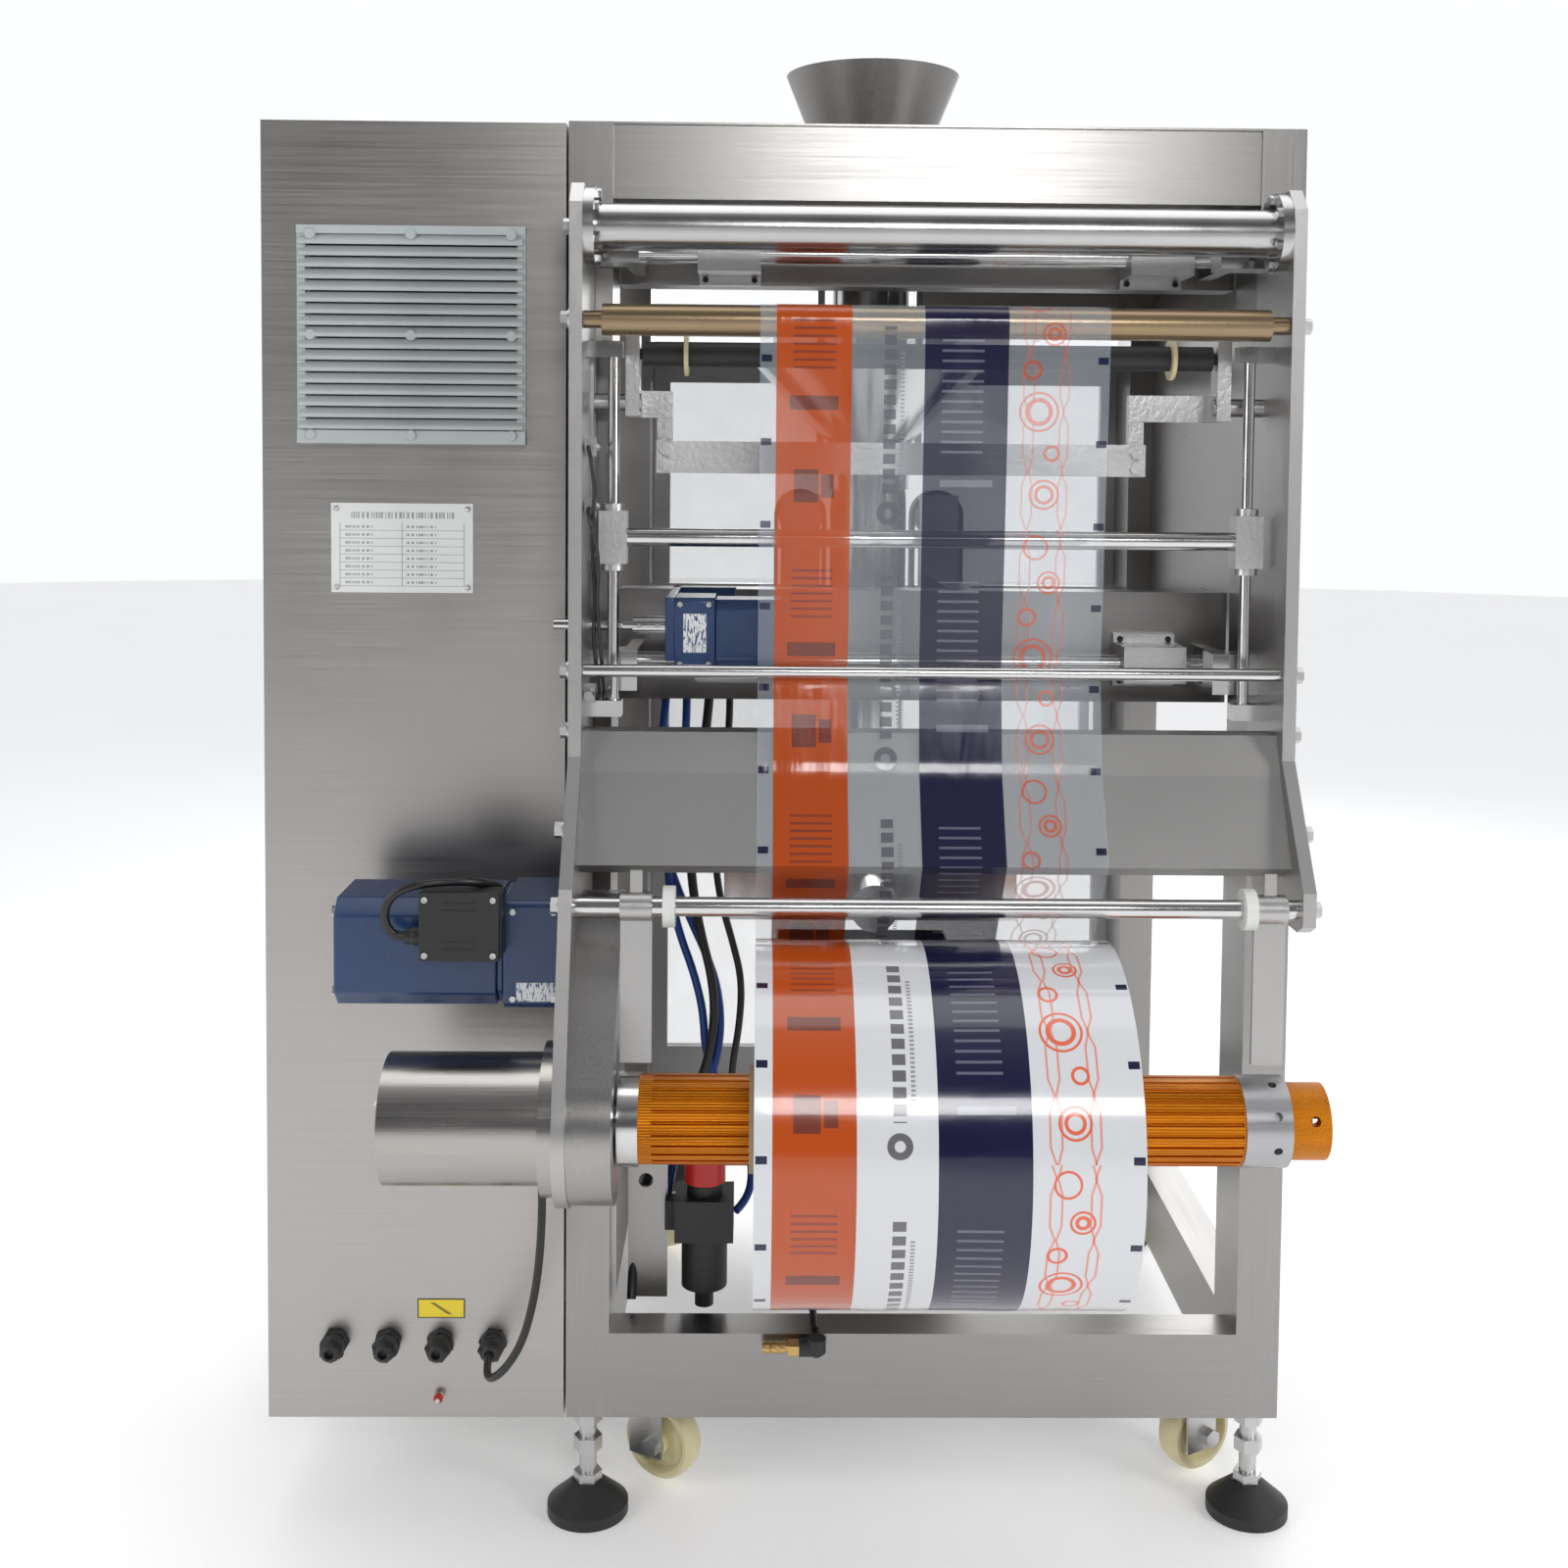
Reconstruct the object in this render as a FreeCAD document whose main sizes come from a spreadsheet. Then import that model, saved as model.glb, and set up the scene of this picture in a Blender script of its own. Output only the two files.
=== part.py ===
import FreeCAD, Part
import math
import os
import re
import Sketcher

# Vertical form fill sealer, in millimetres, +Z up, the film side facing -Y.
# Places below are measured from the rear left foot of the main frame: X to the right along the
# rear face, Y into the machine, Z up from the floor.  Every sub-part's Placement then moves it
# by the same two sheet values, so that the origin is under the middle of the whole machine.

doc = FreeCAD.newDocument("FormFillSealer")
sheet = doc.addObject("Spreadsheet::Sheet", "Size")

DIMENSIONS = {
    "shift_x": -203, "shift_y": -200.25,
    # main frame
    "frame_wide": 664, "frame_deep": 640, "frame_low": 100, "frame_high": 1290,
    "post_wide": 40, "post_deep": 80, "tube_wall": 2, "rail_tall": 80, "sheet_thick": 2,
    "beam_low": 761, "beam_tall": 106, "beam_y": 90,
    # electrical cabinet
    "cab_left": -275, "cab_gap": 2, "cab_deep": 420, "vent_x": -241, "vent_z": 1002,
    "vent_wide": 204, "vent_tall": 194, "gland_z": 172, "gland_first": -213, "gland_pitch": 48.6,
    # film carriage
    "plate_thick": 11, "left_inner": 24, "right_inner": 620, "plate_top": 1222, "plate_near": -116,
    "plate_far": -6, "tube_y": -84, "tube_z": 1187, "tube_radius": 20,
    "gold_y": -104, "gold_z": 1107, "gold_radius": 13.5,
    "thin_y": -104, "thin_z": 810, "thin_radius": 5.5,
    "low_rod_y": -168, "low_rod_z": 623, "low_rod_radius": 8,
    "guide_y": 45, "guide_z": 803, "guide_upper_z": 1180, "guide_radius": 8,
    "shaft_y": -170.5, "shaft_z": 446.5, "shaft_radius": 36, "reel_radius": 146,
    "reel_left": 173, "reel_wide": 294, "core_radius": 43, "film_thick": 0.4,
    "comp_y": -57, "comp_z": 922, "comp_radius": 8,
    "pivot_y": -30, "pivot_z": 1040, "dancer_z": 1083, "dancer_radius": 11,
    "run_gap": 0.06, "track_y": -36, "track_z": 843, "motor_y": -95, "motor_z": 574,
    # bag line
    "former_x": 298, "former_y": 430, "former_radius": 43.5, "former_top": 1330,
    "funnel_top": 1426, "funnel_radius": 97.5, "jaw_z": 520, "jaw_wide": 220,
}
for row, (alias, value) in enumerate(DIMENSIONS.items(), start=1):
    sheet.set(f"A{row}", alias)
    sheet.set(f"B{row}", str(value))
    sheet.setAlias(f"B{row}", alias)
doc.recompute()


def bound(text):
    """An expression on the sheet's cells, from a text with their aliases."""
    return re.sub(r"[a-z]+(_[a-z]+)*", lambda m: "Size." + m.group() if m.group() in DIMENSIONS
                  else m.group(), str(text))


def named(kind, **sizes):
    """A new object whose sizes are bound to the sheet."""
    made = doc.addObject(kind, "Piece")
    for key, text in sizes.items():
        made.setExpression(key, bound(text))
    return made


def at(made, x, y, z):
    """Bind the place of an object."""
    for key, text in zip("xyz", (x, y, z)):
        made.setExpression("Placement.Base." + key, bound(text))
    return made


def box(x, y, z, long, deep, tall):
    """A block from its lowest corner."""
    return at(named("Part::Box", Length=long, Width=deep, Height=tall), x, y, z)


TURN = {"x": ((0, 1, 0), 90), "y": ((1, 0, 0), -90), "z": ((0, 0, 1), 0)}


def rod(axis, x, y, z, radius, long):
    """A round bar from the centre of its first end, along x, y or z."""
    made = named("Part::Cylinder", Radius=radius, Height=long)
    turn, angle = TURN[axis]
    made.Placement = FreeCAD.Placement(FreeCAD.Vector(), FreeCAD.Rotation(FreeCAD.Vector(*turn), angle))
    return at(made, x, y, z)


def cone(axis, x, y, z, first, last, long):
    """A tapered bar from the centre of its first end."""
    made = named("Part::Cone", Radius1=first, Radius2=last, Height=long)
    turn, angle = TURN[axis]
    made.Placement = FreeCAD.Placement(FreeCAD.Vector(), FreeCAD.Rotation(FreeCAD.Vector(*turn), angle))
    return at(made, x, y, z)


def hexagon(axis, x, y, z, radius, long):
    """A six-sided bar, radius to its corners, from the centre of its first end."""
    made = named("Part::Prism", Circumradius=radius, Height=long)
    turn, angle = TURN[axis]
    made.Placement = FreeCAD.Placement(FreeCAD.Vector(), FreeCAD.Rotation(FreeCAD.Vector(*turn), angle))
    return at(made, x, y, z)


def fuse(*pieces):
    """One solid of pieces that meet."""
    made = doc.addObject("Part::MultiFuse", "Joined")
    made.Shapes = list(pieces)
    return made


def cut(base, *tools):
    """The base without the tools."""
    made = doc.addObject("Part::Cut", "Trimmed")
    made.Base = base
    made.Tool = tools[0] if len(tools) == 1 else fuse(*tools)
    return made


def tube(axis, x, y, z, radius, wall, long):
    """A round tube."""
    return cut(rod(axis, x, y, z, radius, long), rod(axis, x, y, z, f"{radius} - {wall}", long))


def group(*pieces):
    """Separate solids that share a node."""
    made = doc.addObject("Part::Compound", "Group")
    made.Links = list(pieces)
    return made


NODES = []


def node(label, made):
    """Make an object a sub-part, under its own name and in the machine's frame."""
    holder = made
    if any(key.startswith("Placement.") or key.startswith(".Placement")
           for key, _ in made.ExpressionEngine):
        holder = group(made)
    holder.Label = label
    at(holder, "shift_x", "shift_y", "0")
    NODES.append(holder)
    return holder


def hollow_box(x, y, z, long, deep, tall, ends):
    """A rectangular tube, open along the axis that ends names."""
    size = dict(zip("xyz", ((x, long), (y, deep), (z, tall))))
    inner = []
    for axis, (low, extent) in size.items():
        if axis == ends:
            inner.append((low, extent))
        else:
            inner.append((f"{low} + tube_wall", f"{extent} - 2 * tube_wall"))
    (ix, il), (iy, iw), (iz, ih) = inner
    return cut(box(x, y, z, long, deep, tall), box(ix, iy, iz, il, iw, ih))


def number(text):
    """The value of a sum or difference of aliases and plain numbers."""
    total = 0
    sign = 1
    for word in str(text).split():
        if word in "+-":
            sign = 1 if word == "+" else -1
        else:
            total += sign * (DIMENSIONS[word] if word in DIMENSIONS else float(word))
    return total


def profile_pad(plane, outline, start, long):
    """A PartDesign body: a closed sketch of straight lines on an origin plane, padded.

    outline is a list of (first, second) place expressions in the sketch; start is the pad's
    distance from the plane."""
    body = doc.addObject("PartDesign::Body", "Body")
    sketch = body.newObject("Sketcher::SketchObject", "Outline")
    role = {"xy": "XY_Plane", "xz": "XZ_Plane", "yz": "YZ_Plane"}[plane]
    face = [f for f in body.Origin.OriginFeatures if f.Role == role][0]
    sketch.AttachmentSupport = [(face, "")]
    sketch.MapMode = "FlatFace"
    values = [tuple(number(text) for text in point) for point in outline]
    for one, two in zip(values, values[1:] + values[:1]):
        sketch.addGeometry(Part.LineSegment(FreeCAD.Vector(*one, 0), FreeCAD.Vector(*two, 0)))
    count = len(values)
    for i in range(count):
        sketch.addConstraint(Sketcher.Constraint("Coincident", i, 2, (i + 1) % count, 1))
    for i, point in enumerate(outline):
        for kind, text, value in zip(("DistanceX", "DistanceY"), point, values[i]):
            index = sketch.addConstraint(Sketcher.Constraint(kind, -1, 1, i, 1, value))
            if any(word in DIMENSIONS for word in re.findall(r"[a-z_]+", str(text))):
                sketch.setExpression(f"Constraints[{index}]", bound(text))
    pad = body.newObject("PartDesign::Pad", "Pad")
    pad.Profile = sketch
    pad.setExpression("Length", bound(long))
    body.Tip = pad
    turned = {"xy": ("0", "0", start), "xz": ("0", start, "0"), "yz": (start, "0", "0")}[plane]
    return at(body, *turned)


# ---------------------------------------------------------------- main frame

RIGHT_POST = "frame_wide - post_wide"
FRONT_POST = "frame_deep - post_deep"
POST_TALL = "frame_high - frame_low"
corners = [(x, y) for x in ("0", RIGHT_POST) for y in ("0", FRONT_POST)]
node("frame_posts", group(*[
    hollow_box(x, y, "frame_low", "post_wide", "post_deep", POST_TALL, "z") for x, y in corners]))

TOP_RAIL = "frame_high - 66"
FRONT_RAIL = "frame_deep - post_wide"
INNER_WIDE = "frame_wide - 2 * post_wide"
INNER_DEEP = "frame_deep - 2 * post_deep"


def cross_rail(y, z, tall):
    """A rail between the posts of the rear or front."""
    return hollow_box("post_wide", y, z, INNER_WIDE, "post_wide", tall, "x")


def side_rail(x, z, tall):
    """A rail between the rear and front posts of one side."""
    return hollow_box(x, "post_deep", z, "post_wide", INNER_DEEP, tall, "y")


side_rails = [side_rail(x, z, tall) for x in ("0", RIGHT_POST)
              for z, tall in (("frame_low", "rail_tall"), (TOP_RAIL, "66"))]
cross_beams = [
    hollow_box("post_wide", "beam_y", "beam_low", INNER_WIDE, "post_wide", "beam_tall", "x"),
    hollow_box("post_wide", "beam_y", "1156", INNER_WIDE, "post_wide", "68", "x"),
    hollow_box("post_wide", "frame_deep - 50", "480", INNER_WIDE, "post_wide", "80", "x")]
CASTERS = {
    "rear_left": ("72", "76", 240), "rear_right": ("frame_wide - 72", "76", -60),
    "front_left": ("72", "frame_deep - 76", 20),
    "front_right": ("frame_wide - 72", "frame_deep - 76", 160),
}
caster_plates = [
    fuse(box(f"{x} - 44", f"{y} - 44", "95", "88", "88", "5"), rod("z", x, y, "88", "20", "8"))
    for x, y, angle in CASTERS.values()]
node("frame_rails", group(
    cross_rail("0", "frame_low", "rail_tall"), cross_rail(FRONT_RAIL, "frame_low", "rail_tall"),
    cross_rail("3", TOP_RAIL, "66"), cross_rail(FRONT_RAIL, TOP_RAIL, "66"),
    *side_rails, *cross_beams, *caster_plates))
funnel_hole = rod("z", "former_x", "former_y", "frame_high - 1", "former_radius + 4", "6")
node("frame_panels", group(
    cut(box("0", "0", "frame_high", "frame_wide", "frame_deep", "sheet_thick"), funnel_hole),
    box("frame_wide - 12", "post_deep", "760", "sheet_thick", INNER_DEEP, "463")))

# ---------------------------------------------------------------- electrical cabinet

CAB_WIDE = "-cab_left - cab_gap"
CAB_SIDE_DEEP = "cab_deep - sheet_thick"
rear_sheet = cut(
    box("cab_left", "0", "frame_low", CAB_WIDE, "sheet_thick", POST_TALL),
    box("vent_x + 12", "-1", "vent_z + 12", "vent_wide - 24", "6", "vent_tall - 24"))
side_sheets = [box(x, "sheet_thick", "frame_low", "sheet_thick", CAB_SIDE_DEEP, POST_TALL)
               for x in ("cab_left", "0 - cab_gap - sheet_thick")]
flat_sheets = [box("cab_left + sheet_thick", "sheet_thick", z, f"{CAB_WIDE} - 2 * sheet_thick",
                   CAB_SIDE_DEEP, "sheet_thick") for z in ("frame_low", "frame_high - sheet_thick")]
spacers = [box("0 - cab_gap", y, z, "cab_gap", "30", "30") for y in ("20", "360") for z in ("200", "1180")]
node("cabinet_shell", group(rear_sheet, *side_sheets, *flat_sheets, *spacers))

LOUVRES = 16
vent_frame = cut(box("vent_x", "-14", "vent_z", "vent_wide", "14", "vent_tall"),
                 box("vent_x + 6", "-15", "vent_z + 6", "vent_wide - 12", "16", "vent_tall - 12"))
slats = [box("vent_x + 5.5", "-12", f"vent_z + 8 + {i} * (vent_tall - 16) / {LOUVRES}",
             "vent_wide - 11", "9", "7") for i in range(LOUVRES)]
node("cabinet_vent", fuse(vent_frame, *slats))


def gland(i):
    """A cable gland: a nut against the sheet, a body and a domed cap."""
    x = f"gland_first + {i} * gland_pitch"
    nut = hexagon("y", x, "-7", "gland_z", "13.5", "7")
    barrel = rod("y", x, "-20", "gland_z", "10.5", "14")
    cap_nut = hexagon("y", x, "-19", "gland_z", "12.5", "8")
    dome = cone("y", x, "-27", "gland_z", "7.5", "10", "8")
    return fuse(nut, barrel, cap_nut, dome)


node("cable_glands", group(*[gland(i) for i in range(4)]))
gear_plate = box("cab_left + 30", "60", "180", "210", "3", "1000")
drives = [box("cab_left + 45", "63", z, "75", "110", "150") for z in ("900", "700")]
breakers = [box(f"cab_left + 150 + {i} * 19", "63", "950", "18", "68", "85") for i in range(4)]
terminals = [box("cab_left + 45", "63", z, "180", "40", "42") for z in ("250", "330")]
controller = box("cab_left + 140", "63", "700", "90", "80", "130")
node("control_gear", fuse(gear_plate, controller, *drives, *breakers, *terminals,
                          box("cab_left + 30", "2", "300", "210", "58", "20"),
                          box("cab_left + 30", "2", "1080", "210", "58", "20")))

# ---------------------------------------------------------------- feet and casters

FOOT_X = ("19", "frame_wide - 21")
FOOT_Y = ("20", "frame_deep - 20")
feet = [(x, y) for x in FOOT_X for y in FOOT_Y]
pads = [fuse(rod("z", x, y, "0", "38", "10"), cone("z", x, y, "10", "38", "15", "20")) for x, y in feet]
studs = [fuse(rod("z", x, y, "30", "8", "70"), hexagon("z", x, y, "30", "13.4", "9"),
              hexagon("z", x, y, "60", "13.4", "13"), hexagon("z", x, y, "87", "13.4", "13"))
         for x, y in feet]
node("levelling_feet", group(*pads, *studs))


def turned_group(x, y, angle, *pieces):
    """Pieces made about a swivel axis, turned to the angle that the caster rests at."""
    made = group(*pieces)
    made.Placement = FreeCAD.Placement(
        FreeCAD.Vector(), FreeCAD.Rotation(FreeCAD.Vector(0, 0, 1), angle))
    return at(made, x, y, "0")


AXLE_Z = "45"
for side, (x, y, angle) in CASTERS.items():
    cheeks = [box(gap, "-8", "33", "3", "36", "53") for gap in ("-20", "17")]
    axle = rod("x", "-26", "18", AXLE_Z, "5", "52")
    nuts = [hexagon("x", gap, "18", AXLE_Z, "9", "7") for gap in ("-27", "20")]
    fork = fuse(box("-20", "-22", "83.5", "40", "50", "4"), rod("z", "0", "0", "83.5", "20", "4"),
                axle, *cheeks, *nuts)
    node(f"caster_fork_{side}", turned_group(x, y, angle, fork))
    wheel = cut(fuse(rod("x", "-13", "18", AXLE_Z, "37.5", "26"), rod("x", "-16", "18", AXLE_Z, "12", "32")),
                rod("x", "-17", "18", AXLE_Z, "5 + run_gap", "34"))
    node(f"caster_wheel_{side}", turned_group(x, y, angle, wheel))

# ---------------------------------------------------------------- film carriage

PLATE = "plate_thick"
LEFT_X = "left_inner - plate_thick"
SPAN = "right_inner - left_inner"
upper_outline = [
    ("plate_far", "plate_top - 18"), ("plate_far - 18", "plate_top"), ("plate_near + 18", "plate_top"),
    ("plate_near", "plate_top - 18"), ("plate_near", "738"), ("low_rod_y - 16", "640")]
left_outline = upper_outline + [
    ("shaft_y - 68", "shaft_z + 16"), ("shaft_y", "shaft_z - 40"), ("shaft_y + 60", "shaft_z + 20"),
    ("plate_far - 24", "520"), ("plate_far", "560")]
right_outline = upper_outline + [
    ("low_rod_y - 16", "612"), ("low_rod_y", "604"), ("-40", "604"), ("plate_far", "640")]
left_plate = fuse(profile_pad("yz", left_outline, LEFT_X, PLATE),
                  rod("x", LEFT_X, "shaft_y", "shaft_z", "70", PLATE))
right_plate = profile_pad("yz", right_outline, "right_inner", PLATE)
pivot_pins = [rod("x", "left_inner", "pivot_y", "pivot_z", "8", "44"),
              rod("x", "right_inner - 44", "pivot_y", "pivot_z", "8", "44")]
node("side_plate_left", cut(fuse(left_plate, pivot_pins[0]),
                            rod("x", "0", "shaft_y", "shaft_z", "15 + run_gap", "40"),
                            rod("x", "0", "track_y", "track_z", "5 + run_gap", "40")))
node("side_plate_right", fuse(right_plate, pivot_pins[1]))

flanges = [rod("x", x, "tube_y", "tube_z", "34", "9") for x in ("left_inner", "right_inner - 9")]
flange_bolts = []
for x in ("left_inner + 9", "right_inner - 13"):
    for turn in range(6):
        angle = math.radians(60 * turn + 30)
        flange_bolts.append(hexagon("x", x, f"tube_y + {27 * math.cos(angle):.3f}",
                                    f"tube_z + {27 * math.sin(angle):.3f}", "5.5", "4"))
node("top_tube", fuse(
    tube("x", "left_inner", "tube_y", "tube_z", "tube_radius", "2.5", SPAN), *flanges, *flange_bolts))

SCREWS = (("tube_y", "tube_z"), ("gold_y", "gold_z"), ("thin_y", "thin_z"),
          ("low_rod_y", "low_rod_z"), ("-100", "758"), ("-140", "680"))
heads = []
for y, z in SCREWS:
    for x, washer, head in ((LEFT_X, "-2", "-8"), ("right_inner + plate_thick", "0", "2")):
        heads.append(fuse(rod("x", f"{x} + {washer}", y, z, "8.5", "2"),
                          hexagon("x", f"{x} + {head}", y, z, "7", "6")))
node("plate_screws", group(*heads))

panel_outline = [
    ("-70", "757"), ("-98", "757"), ("-113", "724"), ("-151", "653"), ("-120", "640"),
    ("-119", "643"), ("-146.5", "654.5"), ("-110", "723"), ("-96", "754"), ("-70", "754")]
node("slant_panel", profile_pad("yz", panel_outline, "left_inner", SPAN))

collar_x = ("102 - 5", "579 - 5")
node("low_rod", fuse(rod("x", "left_inner", "low_rod_y", "low_rod_z", "low_rod_radius", SPAN),
                     *[rod("x", x, "low_rod_y", "low_rod_z", "17", "10") for x in collar_x]))


def rod_bracket(foot_x, arm_x, z):
    """An arm from a side plate that holds the end of a guide shaft inside the frame."""
    return fuse(box(foot_x, "-42", f"{z} - 18", "42", "36", "36"),
                box(arm_x, "-42", f"{z} - 18", "12", "102", "36"))


guide_sets = []
for z in ("guide_z", "guide_upper_z"):
    guide_sets += [
        rod_bracket("left_inner", "left_inner + 30", z),
        rod_bracket("right_inner - 42", "right_inner - 38", z),
        rod("x", "left_inner + 42", "guide_y", z, "guide_radius", f"{SPAN} - 80")]

BLOCK_X = ("144 - 29", "542 - 29")
blocks = []
for z in ("guide_z", "guide_upper_z"):
    for x in BLOCK_X:
        blocks.append(cut(
            fuse(box(x, "guide_y - 18", f"{z} - 17", "58", "beam_y - guide_y + 18", "34"),
                 box(x, "beam_y - 12", f"{z} - 25", "58", "12", "50")),
            rod("x", f"{x} - 1", "guide_y", z, "guide_radius + run_gap", "60")))
node("bearing_blocks", group(*blocks))

# ---------------------------------------------------------------- rollers

ROLLER_SPAN = f"{SPAN} - 32"


def roller(label, y, z, radius, pin):
    """A roller between the side plates, with thinner ends on its bearings."""
    return node(label, fuse(rod("x", "left_inner + 16", y, z, radius, ROLLER_SPAN),
                            rod("x", "left_inner + 0.5", y, z, pin, f"{SPAN} - 1")))


roller("gold_roller", "gold_y", "gold_z", "gold_radius", "7.5")
node("thin_roller", rod("x", "left_inner + 0.5", "thin_y", "thin_z", "thin_radius", f"{SPAN} - 1"))

arm_low = "pivot_z - 12"
dancer_parts = []
for arm, post, strip in (("left_inner + 31", "80", "left_inner + 43"),
                         ("right_inner - 43", "509", "509")):
    head = cut(fuse(box(arm, "-42", arm_low, "12", "24", "76"),
                    box(arm, "-42", arm_low, "12", "60", "24")),
               rod("x", f"{arm} - 1", "pivot_y", "pivot_z", "8 + run_gap", "14"),
               rod("x", f"{arm} - 1", "pivot_y", "dancer_z", "5 + run_gap", "14"))
    inner = box(post, "8", "978", "14", "10", "74")
    bridge = box(strip, "6", arm_low, "68" if arm.startswith("right") else "27", "12", "24")
    dancer_parts += [head, inner, bridge]
cross_bar = box("80", "-2", "978", "443", "10", "29")
bolts = [hexagon("y", x, "-7", z, "6", "5") for x in ("89", "514") for z in ("985.5", "999.5")]
node("dancer_arm", fuse(cross_bar, *bolts, *dancer_parts))
node("dancer_roller", fuse(
    rod("x", "left_inner + 46", "pivot_y", "dancer_z", "dancer_radius", f"{SPAN} - 92"),
    rod("x", "left_inner + 31.5", "pivot_y", "dancer_z", "5", f"{SPAN} - 63")))

# ---------------------------------------------------------------- film tension bar on two posts

COMP_X = ("46", "right_inner - 19")
post_sets = []
for x, inner in zip(COMP_X, ("left_inner", "right_inner - 30")):
    post_sets += [rod("z", x, "comp_y", "779", "5", "299"),
                  box(inner, "comp_y - 9", "1078", "30", "18", "14"),
                  box(inner, "comp_y - 9", "765", "30", "18", "14")]
node("guide_shafts", group(*guide_sets, *post_sets))
slides = []
for x in COMP_X:
    slides.append(cut(fuse(box(f"{x} - 12", "comp_y - 12", "comp_z - 23", "24", "24", "46"),
                           rod("z", x, "comp_y", "comp_z - 29", "10", "58")),
                      rod("z", x, "comp_y", "comp_z - 30", "5 + run_gap", "60")))
node("tension_bar", fuse(
    rod("x", "46 + 12", "comp_y", "comp_z", "comp_radius", "right_inner - 19 - 12 - 58"), *slides))

strip = cut(box("left_inner", "-42", "900", "3", "30", "195"),
            box("left_inner - 1", "-32", "1010", "5", "9", "60"),
            rod("x", "left_inner - 1", "pivot_y", "pivot_z", "8.5", "5"))
sensors = [fuse(rod("y", "left_inner + 5", "-104", z, "4", "60"),
                box("left_inner", "-90", f"{z} - 8", "9", "12", "16"))
           for z in ("1000", "948", "788")]
node("sensor_set", group(strip, *sensors))

# ---------------------------------------------------------------- unwind drive and brake

MOTOR_Y = DIMENSIONS["motor_y"]
MOTOR_Z = DIMENSIONS["motor_z"]
gearbox = box("left_inner - plate_thick - 52", f"{MOTOR_Y} - 46", f"{MOTOR_Z} - 46", "52", "92", "92")
motor_can = fuse(box("-180", f"{MOTOR_Y} - 36", f"{MOTOR_Z} - 46", "141", "72", "92"),
                 box("-180", f"{MOTOR_Y} - 46", f"{MOTOR_Z} - 36", "141", "92", "72"))
motor_bolts = [hexagon("x", "-184", f"{MOTOR_Y} + {y}", f"{MOTOR_Z} + {z}", "5", "5")
               for y in (-34, 34) for z in (-34, 34)]
terminal_box = box("-104", f"{MOTOR_Y} - 76", f"{MOTOR_Z} + 2", "68", "30", "58")
node("unwind_motor", group(
    fuse(gearbox, motor_can, *motor_bolts),
    fuse(terminal_box, rod("x", "-118", f"{MOTOR_Y} - 60", f"{MOTOR_Z} + 20", "8", "15"))))


def stadium(x, grow, thick):
    """A plate with round ends about the motor's and the film shaft's axes."""
    along = (number("shaft_y") - MOTOR_Y, number("shaft_z") - MOTOR_Z)
    reach = math.hypot(*along)
    lean = math.asin((68 - 44) / reach)
    aim = math.atan2(along[1], along[0])
    points = []
    for side in (1, -1):
        normal = aim + side * (math.pi / 2 + lean)
        ends = [(MOTOR_Y + (44 + grow) * math.cos(normal), MOTOR_Z + (44 + grow) * math.sin(normal)),
                (number("shaft_y") + (68 + grow) * math.cos(normal),
                 number("shaft_z") + (68 + grow) * math.sin(normal))]
        points += ends if side > 0 else ends[::-1]
    bridge = profile_pad("yz", [(f"{y:.3f}", f"{z:.3f}") for y, z in points], x, thick)
    return fuse(bridge, rod("x", x, MOTOR_Y, MOTOR_Z, f"{44 + grow}", thick),
                rod("x", x, "shaft_y", "shaft_z", f"{68 + grow}", thick))


hollow = stadium("left_inner", -2, "34")
node("belt_cover", cut(stadium("left_inner", 0, "36"), hollow,
                       rod("x", "0", "shaft_y", "shaft_z", "20", "70")))

cover_screws = [
    hexagon("x", "-131", f"shaft_y + {44 * math.cos(turn):.3f}", f"shaft_z + {44 * math.sin(turn):.3f}",
            "4.5", "4")
    for turn in (0.5, 2.6, 4.7)]
node("brake_housing", cut(
    fuse(rod("x", "-128", "shaft_y", "shaft_z", "53", "141"), rod("x", "1", "shaft_y", "shaft_z", "62", "12"),
         *cover_screws),
    rod("x", "-126", "shaft_y", "shaft_z", "50", "140")))

# ---------------------------------------------------------------- film shaft and reel

RIBS = 24
shaft_bar = rod("x", "left_inner + 54", "shaft_y", "shaft_z", "shaft_radius", "494")
grooves = []
for i in range(RIBS):
    made = box("left_inner + 66", "shaft_radius - 1.5", "-1.6", "480", "4", "3.2")
    angle = math.radians(360 / RIBS * i)
    made.Placement = FreeCAD.Placement(
        FreeCAD.Vector(), FreeCAD.Rotation(FreeCAD.Vector(1, 0, 0), math.degrees(angle)))
    made.setExpression("Placement.Base.x", bound("left_inner + 66"))
    made.setExpression("Placement.Base.y", bound(
        f"shaft_y + {math.cos(angle):.5f} * (shaft_radius - 1.5) + {1.6 * math.sin(angle):.4f}"))
    made.setExpression("Placement.Base.z", bound(
        f"shaft_z + {math.sin(angle):.5f} * (shaft_radius - 1.5) - {1.6 * math.cos(angle):.4f}"))
    grooves.append(made)
journal = rod("x", "-118", "shaft_y", "shaft_z", "15", "200")
disc = rod("x", "-100", "shaft_y", "shaft_z", "44", "24")
pulley = rod("x", "left_inner + 6", "shaft_y", "shaft_z", "40", "22")
collar = rod("x", "left_inner + 38", "shaft_y", "shaft_z", "shaft_radius + 2", "17")
ring = rod("x", "572", "shaft_y", "shaft_z", "shaft_radius + 1", "38")
shaft_wheels = [cut(pulley, rod("x", "left_inner", "shaft_y", "shaft_z", "15", "40")),
                cut(disc, rod("x", "-110", "shaft_y", "shaft_z", "15", "50"))]
ring_holes = []
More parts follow.
